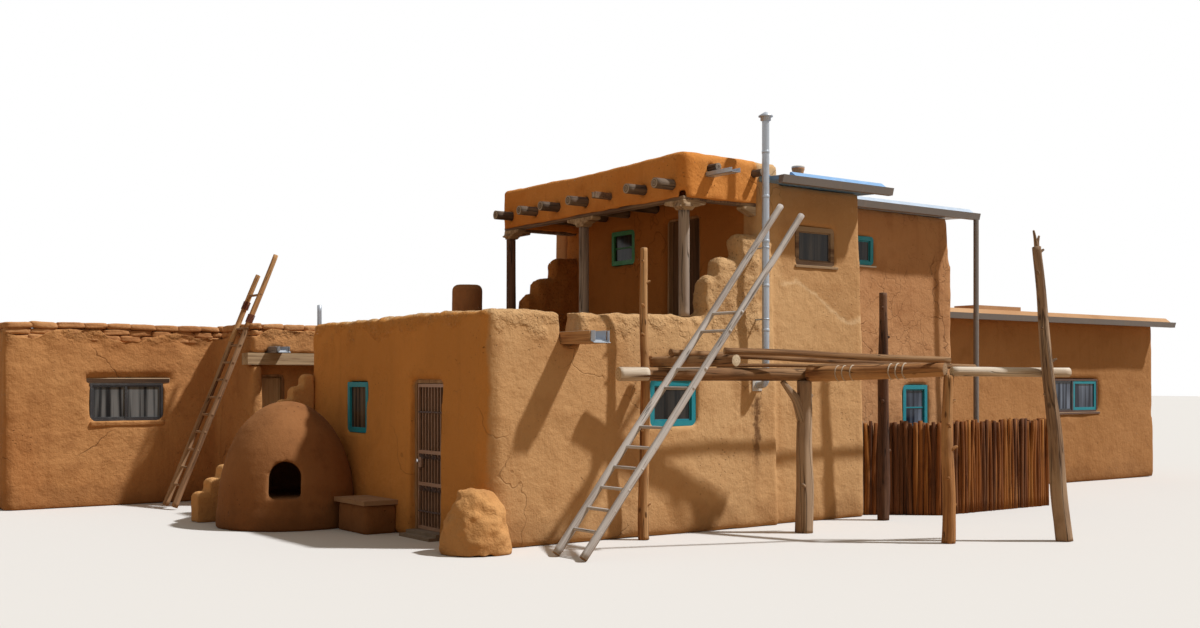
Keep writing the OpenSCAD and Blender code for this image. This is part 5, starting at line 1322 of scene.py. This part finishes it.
# Ladders
def rail(bm, pts, y, seed, splice, end_slot):
    """One peeled rail, of another wood above its splice; gives its foot and direction."""
    near = pts[np.abs(pts[:, 1] - y) < rail_r + 0.002]
    top = near[near[:, 2] > near[:, 2].max() - 0.08].mean(0)
    ground = near[near[:, 2] < 0.005].mean(0)
    run = Vector(top - ground).normalized()
    foot = Vector((ground[0], y, 0.0))
    a = foot + run * 0.045
    b = Vector((top[0], y, top[2])) + run * 0.02
    parts = [(a, b, 0, 0.98, 0.82)]
    if splice is not None:
        m = a.lerp(b, splice)
        parts = [(a, m + run * 0.12, 0, 0.98, 0.80), (m, b, 1, 0.94, 0.80)]
    for p, q, slot, wide, narrow in parts:
        log_mesh(bm, [p, q], rail_r * wide, rail_r * narrow, seed + slot, 14, 0.07, 0.07,
                 0.010, slot=slot, end_slot=end_slot)
    return foot, run


def ladder(node, name, gone, mats, seed, splice=None):
    """Two peeled rails and the rungs that are still there."""
    pts = coords(nodes[node].data)
    lo, hi = pts.min(0), pts.max(0)
    bm = bmesh.new()
    f0, run = rail(bm, pts, hi[1] - rail_r, seed, splice, len(mats))
    f1, _ = rail(bm, pts, lo[1] + rail_r, seed + 3, splice, len(mats))
    inset = Vector((0, 0.045, 0))
    for i in range(1, rungs + 1):
        if i not in gone:
            s = rung_step * i + 0.1
            log_mesh(bm, [f0 + run * s + inset, f1 + run * s - inset], rung_r, rung_r * 0.92,
                     seed + 10 + i, 10, 0.08, 0.10, 0.004)
    finish_bm(bm, name, list(mats) + [m_end], replaced=[node])
    return f0, f1, run


def rope_ties(lines):
    """Rope wound round the annex ladder's upper splice."""
    f0, f1, run = lines
    side = run.cross(Vector((0, 1, 0))).normalized()
    bm = bmesh.new()
    for foot, s0 in ((f0, 3.45), (f1, 3.20)):
        path = []
        for i in range(57):
            a = i * math.pi / 4
            c = foot + run * (s0 + i * 0.0025)
            path.append(c + Vector((0, math.cos(a) * 0.054, 0)) + side * math.sin(a) * 0.054)
        log_mesh(bm, path, 0.007, 0.007, 3, 6, 0.03, 0.0)
    finish_bm(bm, "rope_ties", m_rope)


def ladders():
    """The bleached front ladder and the darker one in the alcove."""
    ladder("front_ladder", "front_ladder_poles", (7, 10), [m_silver_log], 110)
    rope_ties(ladder("annex_ladder", "annex_ladder_poles", (11,), [m_brown_log, m_splice_log],
                     140, 0.70))


# Drying rack
def stub(bm, base, direction, length, r, seed):
    """A short broken branch on a post."""
    d = Vector(direction).normalized()
    base = Vector(base)
    tip = base + d * length
    log_mesh(bm, [base - d * r, base + d * length * 0.5 + Vector((0, 0, 0.006)), tip], r, r * 0.62,
             seed, 10, 0.03, 0.14)


def rack_uprights():
    """The five posts; a stub is its height as a share, its side and its length."""
    a, fork, d, e, c = solids_of("rack_posts")
    rack_post("rack_post_a", a, m_orange_log, 200, 0.040, [
        (0.12, 1, 0.04), (0.24, -1, 0.05), (0.37, -1, 0.04), (0.47, 1, 0.05), (0.62, 1, 0.07),
        (0.70, -1, 0.05), (0.80, -1, 0.05), (0.88, 1, 0.05), (0.95, -1, 0.04)])
    rack_post("rack_post_d", d, m_orange_log, 210, 0.024, [
        (0.22, 1, 0.04), (0.38, -1, 0.05), (0.56, 1, 0.07), (0.70, -1, 0.05), (0.84, 1, 0.05)])
    rack_post("rack_post_c", c, m_dark_log, 220, 0.020, [
        (0.30, 1, 0.05), (0.52, -1, 0.05), (0.68, 1, 0.08), (0.80, 1, 0.05), (0.93, -1, 0.05)])
    leaning_post(e)
    forked_post(fork)


def painted_sunlit_end(bm, points, slot):
    """A pale sleeve over the beam's near end: painted light for its sunlit end, the rest lying in
    shade.
    """
    (a, ra), (b, _) = log_line(points)
    run = (b - a).normalized()
    log_mesh(bm, [a - run * 0.004, a + run * 0.40], ra * 1.05, ra * 1.03, 3, 24, 0.05,
             0.04, slot=slot, end_slot=1)


def rack_beams():
    """The logs that lie in the posts' forks and ties."""
    front, cross, rear_beam, pale = solids_of("rack_beams")
    # the front beam's pale near end is painted sunlight
    for name, g, mat, end, seed, extra in (
            ("rack_front_beam", front, m_beam_log, m_end_pale, 240, painted_sunlit_end),
            ("rack_cross_log", cross, m_beam_log, m_end_pale, 241, None),
            ("rack_rear_beam", rear_beam, m_orange_log, m_end, 242, rope_rings),
            ("rack_pale_beam", pale, m_pale_log, m_end_pale, 243, None)):
        bm = bmesh.new()
        log_from(bm, g, seed, sides=20, step=0.08, rough=0.09, end_slot=1)
        if extra is not None:
            extra(bm, g, 2)
        finish_bm(bm, name, [mat, end, m_pale_log], replaced=["rack_beams"])


def rack():
    """Crooked posts, peeled beams and thin poles."""
    rack_uprights()
    rack_beams()
    bm = bmesh.new()
    for k, g in enumerate(solids_of("rack_poles")):
        log_from(bm, g, 250 + k, sides=12, step=0.10, rough=0.07, wobble=0.008)
    finish_bm(bm, "rack_roof_poles", m_beam_log, replaced=["rack_poles"])


def rope_rings(bm, points, slot):
    """Pale loops of cord tied round a beam."""
    (a, ra), (b, _) = log_line(points)
    run = (b - a).normalized()
    side = run.cross(Vector((0, 0, 1))).normalized()
    up = side.cross(run)
    for share in tied_at:
        c = a.lerp(b, share)
        ring = [c + (side * math.cos(k * math.pi / 8) + up * math.sin(k * math.pi / 8)) * ra * 1.14
                + run * 0.004 * math.sin(k) for k in range(17)]
        log_mesh(bm, ring, 0.009, 0.009, 4, 7, 0.03, 0.0, slot=slot)


def rack_post(name, points, mat, seed, wobble, stubs):
    """One upright post with knots and stubs of branches."""
    (a, ra), (b, rb) = log_line(points)
    bm = bmesh.new()
    log_mesh(bm, [a, b], ra * 1.04, rb * 0.68, seed, 20, 0.045, 0.26, wobble, end_slot=1)
    for k, (share, side, length) in enumerate(stubs):
        p = a.lerp(b, share)
        r = ra * (1.04 - 0.36 * share)
        stub(bm, p + Vector((side * r * 0.55, -r * 0.5, 0)), (side, -0.5, 0.55), length, r * 0.42,
             seed + 5 + k)
    finish_bm(bm, name, [mat, m_end], replaced=["rack_posts"])


def leaning_post(points):
    """The tall post at the right, with stubs all the way up and a split top."""
    (a, _), (b, _) = log_line(points)
    foot_r, top_r = 0.100, 0.055
    bm = bmesh.new()
    axis = (b - a).normalized()
    tip = b - axis * 0.20
    log_mesh(bm, [a, tip], foot_r, top_r, 230, 22, 0.05, 0.24, 0.034, end_slot=1)
    stubs = ((0.22, -1, -0.4, 0.05), (0.36, 1, -0.2, 0.06), (0.47, -1, 0.3, 0.05),
             (0.58, 1, -0.6, 0.07), (0.68, -1, -0.3, 0.06), (0.77, 1, 0.2, 0.09),
             (0.86, -1, -0.5, 0.07), (0.93, 1, -0.2, 0.08))
    for k, (share, x, y, length) in enumerate(stubs):
        p = a.lerp(b, share)
        r = foot_r + (top_r - foot_r) * share
        stub(bm, p + Vector((x * r * 0.7, y * r * 0.7, 0)), (x, y, 0.7), length, 0.022, 231 + k)
    for x, height in ((-0.035, 0.20), (0.030, 0.14)):
        log_mesh(bm, [tip - axis * 0.05, tip + Vector((x * 0.8, 0, height * 0.5)),
                      tip + Vector((x * 1.7, 0, height))], 0.034, 0.014, 239, 10, 0.03, 0.15)
    finish_bm(bm, "rack_post_e", [m_twist_log, m_end], replaced=["rack_posts"])


def forked_post(points):
    """The thick post that holds the beams, with its left arm."""
    foot = points[points[:, 2] < 0.01].mean(0)
    r = 0.120
    top = points[:, 2].max() - 0.005
    x, y = foot[0], foot[1]
    bm = bmesh.new()
    log_mesh(bm, [(x + 0.005, y, 0.0), (x + 0.012, y, 0.6), (x - 0.012, y, 1.2), (x, y, top - 0.30),
                  (x + 0.005, y, top - 0.025)], r * 0.98, r * 0.80, 260, 26, 0.045, 0.24, end_slot=1)
    log_mesh(bm, [(x - 0.010, y, top - 0.55), (x - r * 0.9, y + r * 0.30, top - 0.28),
                  (x - r * 1.75, y + r * 0.62, top - 0.14), (x - r * 2.5, y + r * 0.85, top - 0.03)],
             0.092, 0.034, 261, 18, 0.04, 0.22, end_slot=1)
    stub(bm, (x + r * 0.55, y, top - 0.28), (1, -0.2, 1.2), 0.10, 0.045, 263)
    stub(bm, (x + r * 0.7, y, 1.05), (1, -0.4, 0.6), 0.05, 0.036, 262)
    stub(bm, (x - r * 0.6, y - r * 0.5, 0.62), (-1, -0.5, 0.5), 0.03, 0.040, 264)
    finish_bm(bm, "rack_post_b", [m_twist_log, m_end], replaced=["rack_posts"])


# Fence
def stake(bm, rng, a, run, s, height, is_post):
    """One bent stake s metres along the run, a straighter one behind it; gives its radius."""
    r = rng.uniform(0.029, 0.044)
    p = a + run * (s + r) + Vector((rng.uniform(-0.012, 0.012), rng.uniform(-0.012, 0.012), 0))
    tilt = Vector((rng.uniform(-0.03, 0.03), rng.uniform(-0.02, 0.02), 0))
    h = height - rng.uniform(0.0, 0.05)
    slot = int(rng.choice([0, 0, 1, 1, 2, 2]))
    if is_post:
        r, slot, h = 0.052, 3, height - 0.01
    bend = Vector((rng.uniform(-0.015, 0.015), rng.uniform(-0.015, 0.015), h * 0.5))
    log_mesh(bm, [p, p + bend, p + tilt + Vector((0, 0, h))], r, r * 0.82,
             int(rng.integers(1e6)), 9, 0.16, 0.16, slot=slot)
    foot = p + Vector((-run.y, run.x, 0)) * 0.040 + run * r
    log_mesh(bm, [foot, foot + Vector((0, 0, h - 0.03))],
             r * 0.9, r * 0.8, int(rng.integers(1e6)), 8, 0.4, 0.1, slot=1)
    return r


def fence():
    """Stakes side by side along the yard, tied to two rails behind them."""
    base = Vector((tower_east, corner.y, 0))
    corners = [base + Vector((x, y, 0)) for x, y in fence_corners]
    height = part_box("stake_fence")[1][2]
    rng = np.random.default_rng(77)
    bm = bmesh.new()
    for k, (a, b) in enumerate(zip(corners, corners[1:])):
        run = (b - a).normalized()
        s, length = 0.0, (b - a).length
        while s < length:
            s += 1.82 * stake(bm, rng, a, run, s, height, k == 0 and s == 0.0)
        back = Vector((-run.y, run.x, 0)) * 0.085
        for z in fence_rails:
            log_mesh(bm, [a + back + Vector((0, 0, z)), b + back + Vector((0, 0, z))], 0.024, 0.022,
                     int(z * 10), 10, 0.2, 0.1, slot=1)
    finish_bm(bm, "fence_stakes", [m_stake, m_stake_b, m_stake_c, m_twist_log],
              replaced=["stake_fence"])


# Floor of the studio
def studio_floor():
    """A plain pale floor; light that bounces off it is warm and dim."""
    bm = bmesh.new()
    bmesh.ops.create_grid(bm, x_segments=1, y_segments=1, size=160)
    me = bpy.data.meshes.new("studio_floor")
    bm.to_mesh(me)
    bm.free()
    o = bpy.data.objects.new("studio_floor", me)
    bpy.context.collection.objects.link(o)
    s = Shade("studio_floor", 0.95, spec=0.05)
    bounced, shown = (0.40, 0.27, 0.155), (0.73, 0.74, 0.76)
    me.materials.append(s.done(s.mix(seen_directly(s.tree), bounced, shown)))


masonry()
portal()
troughs()
metalwork()
windows()
doors()
ladders()
rack()
fence()
studio_floor()
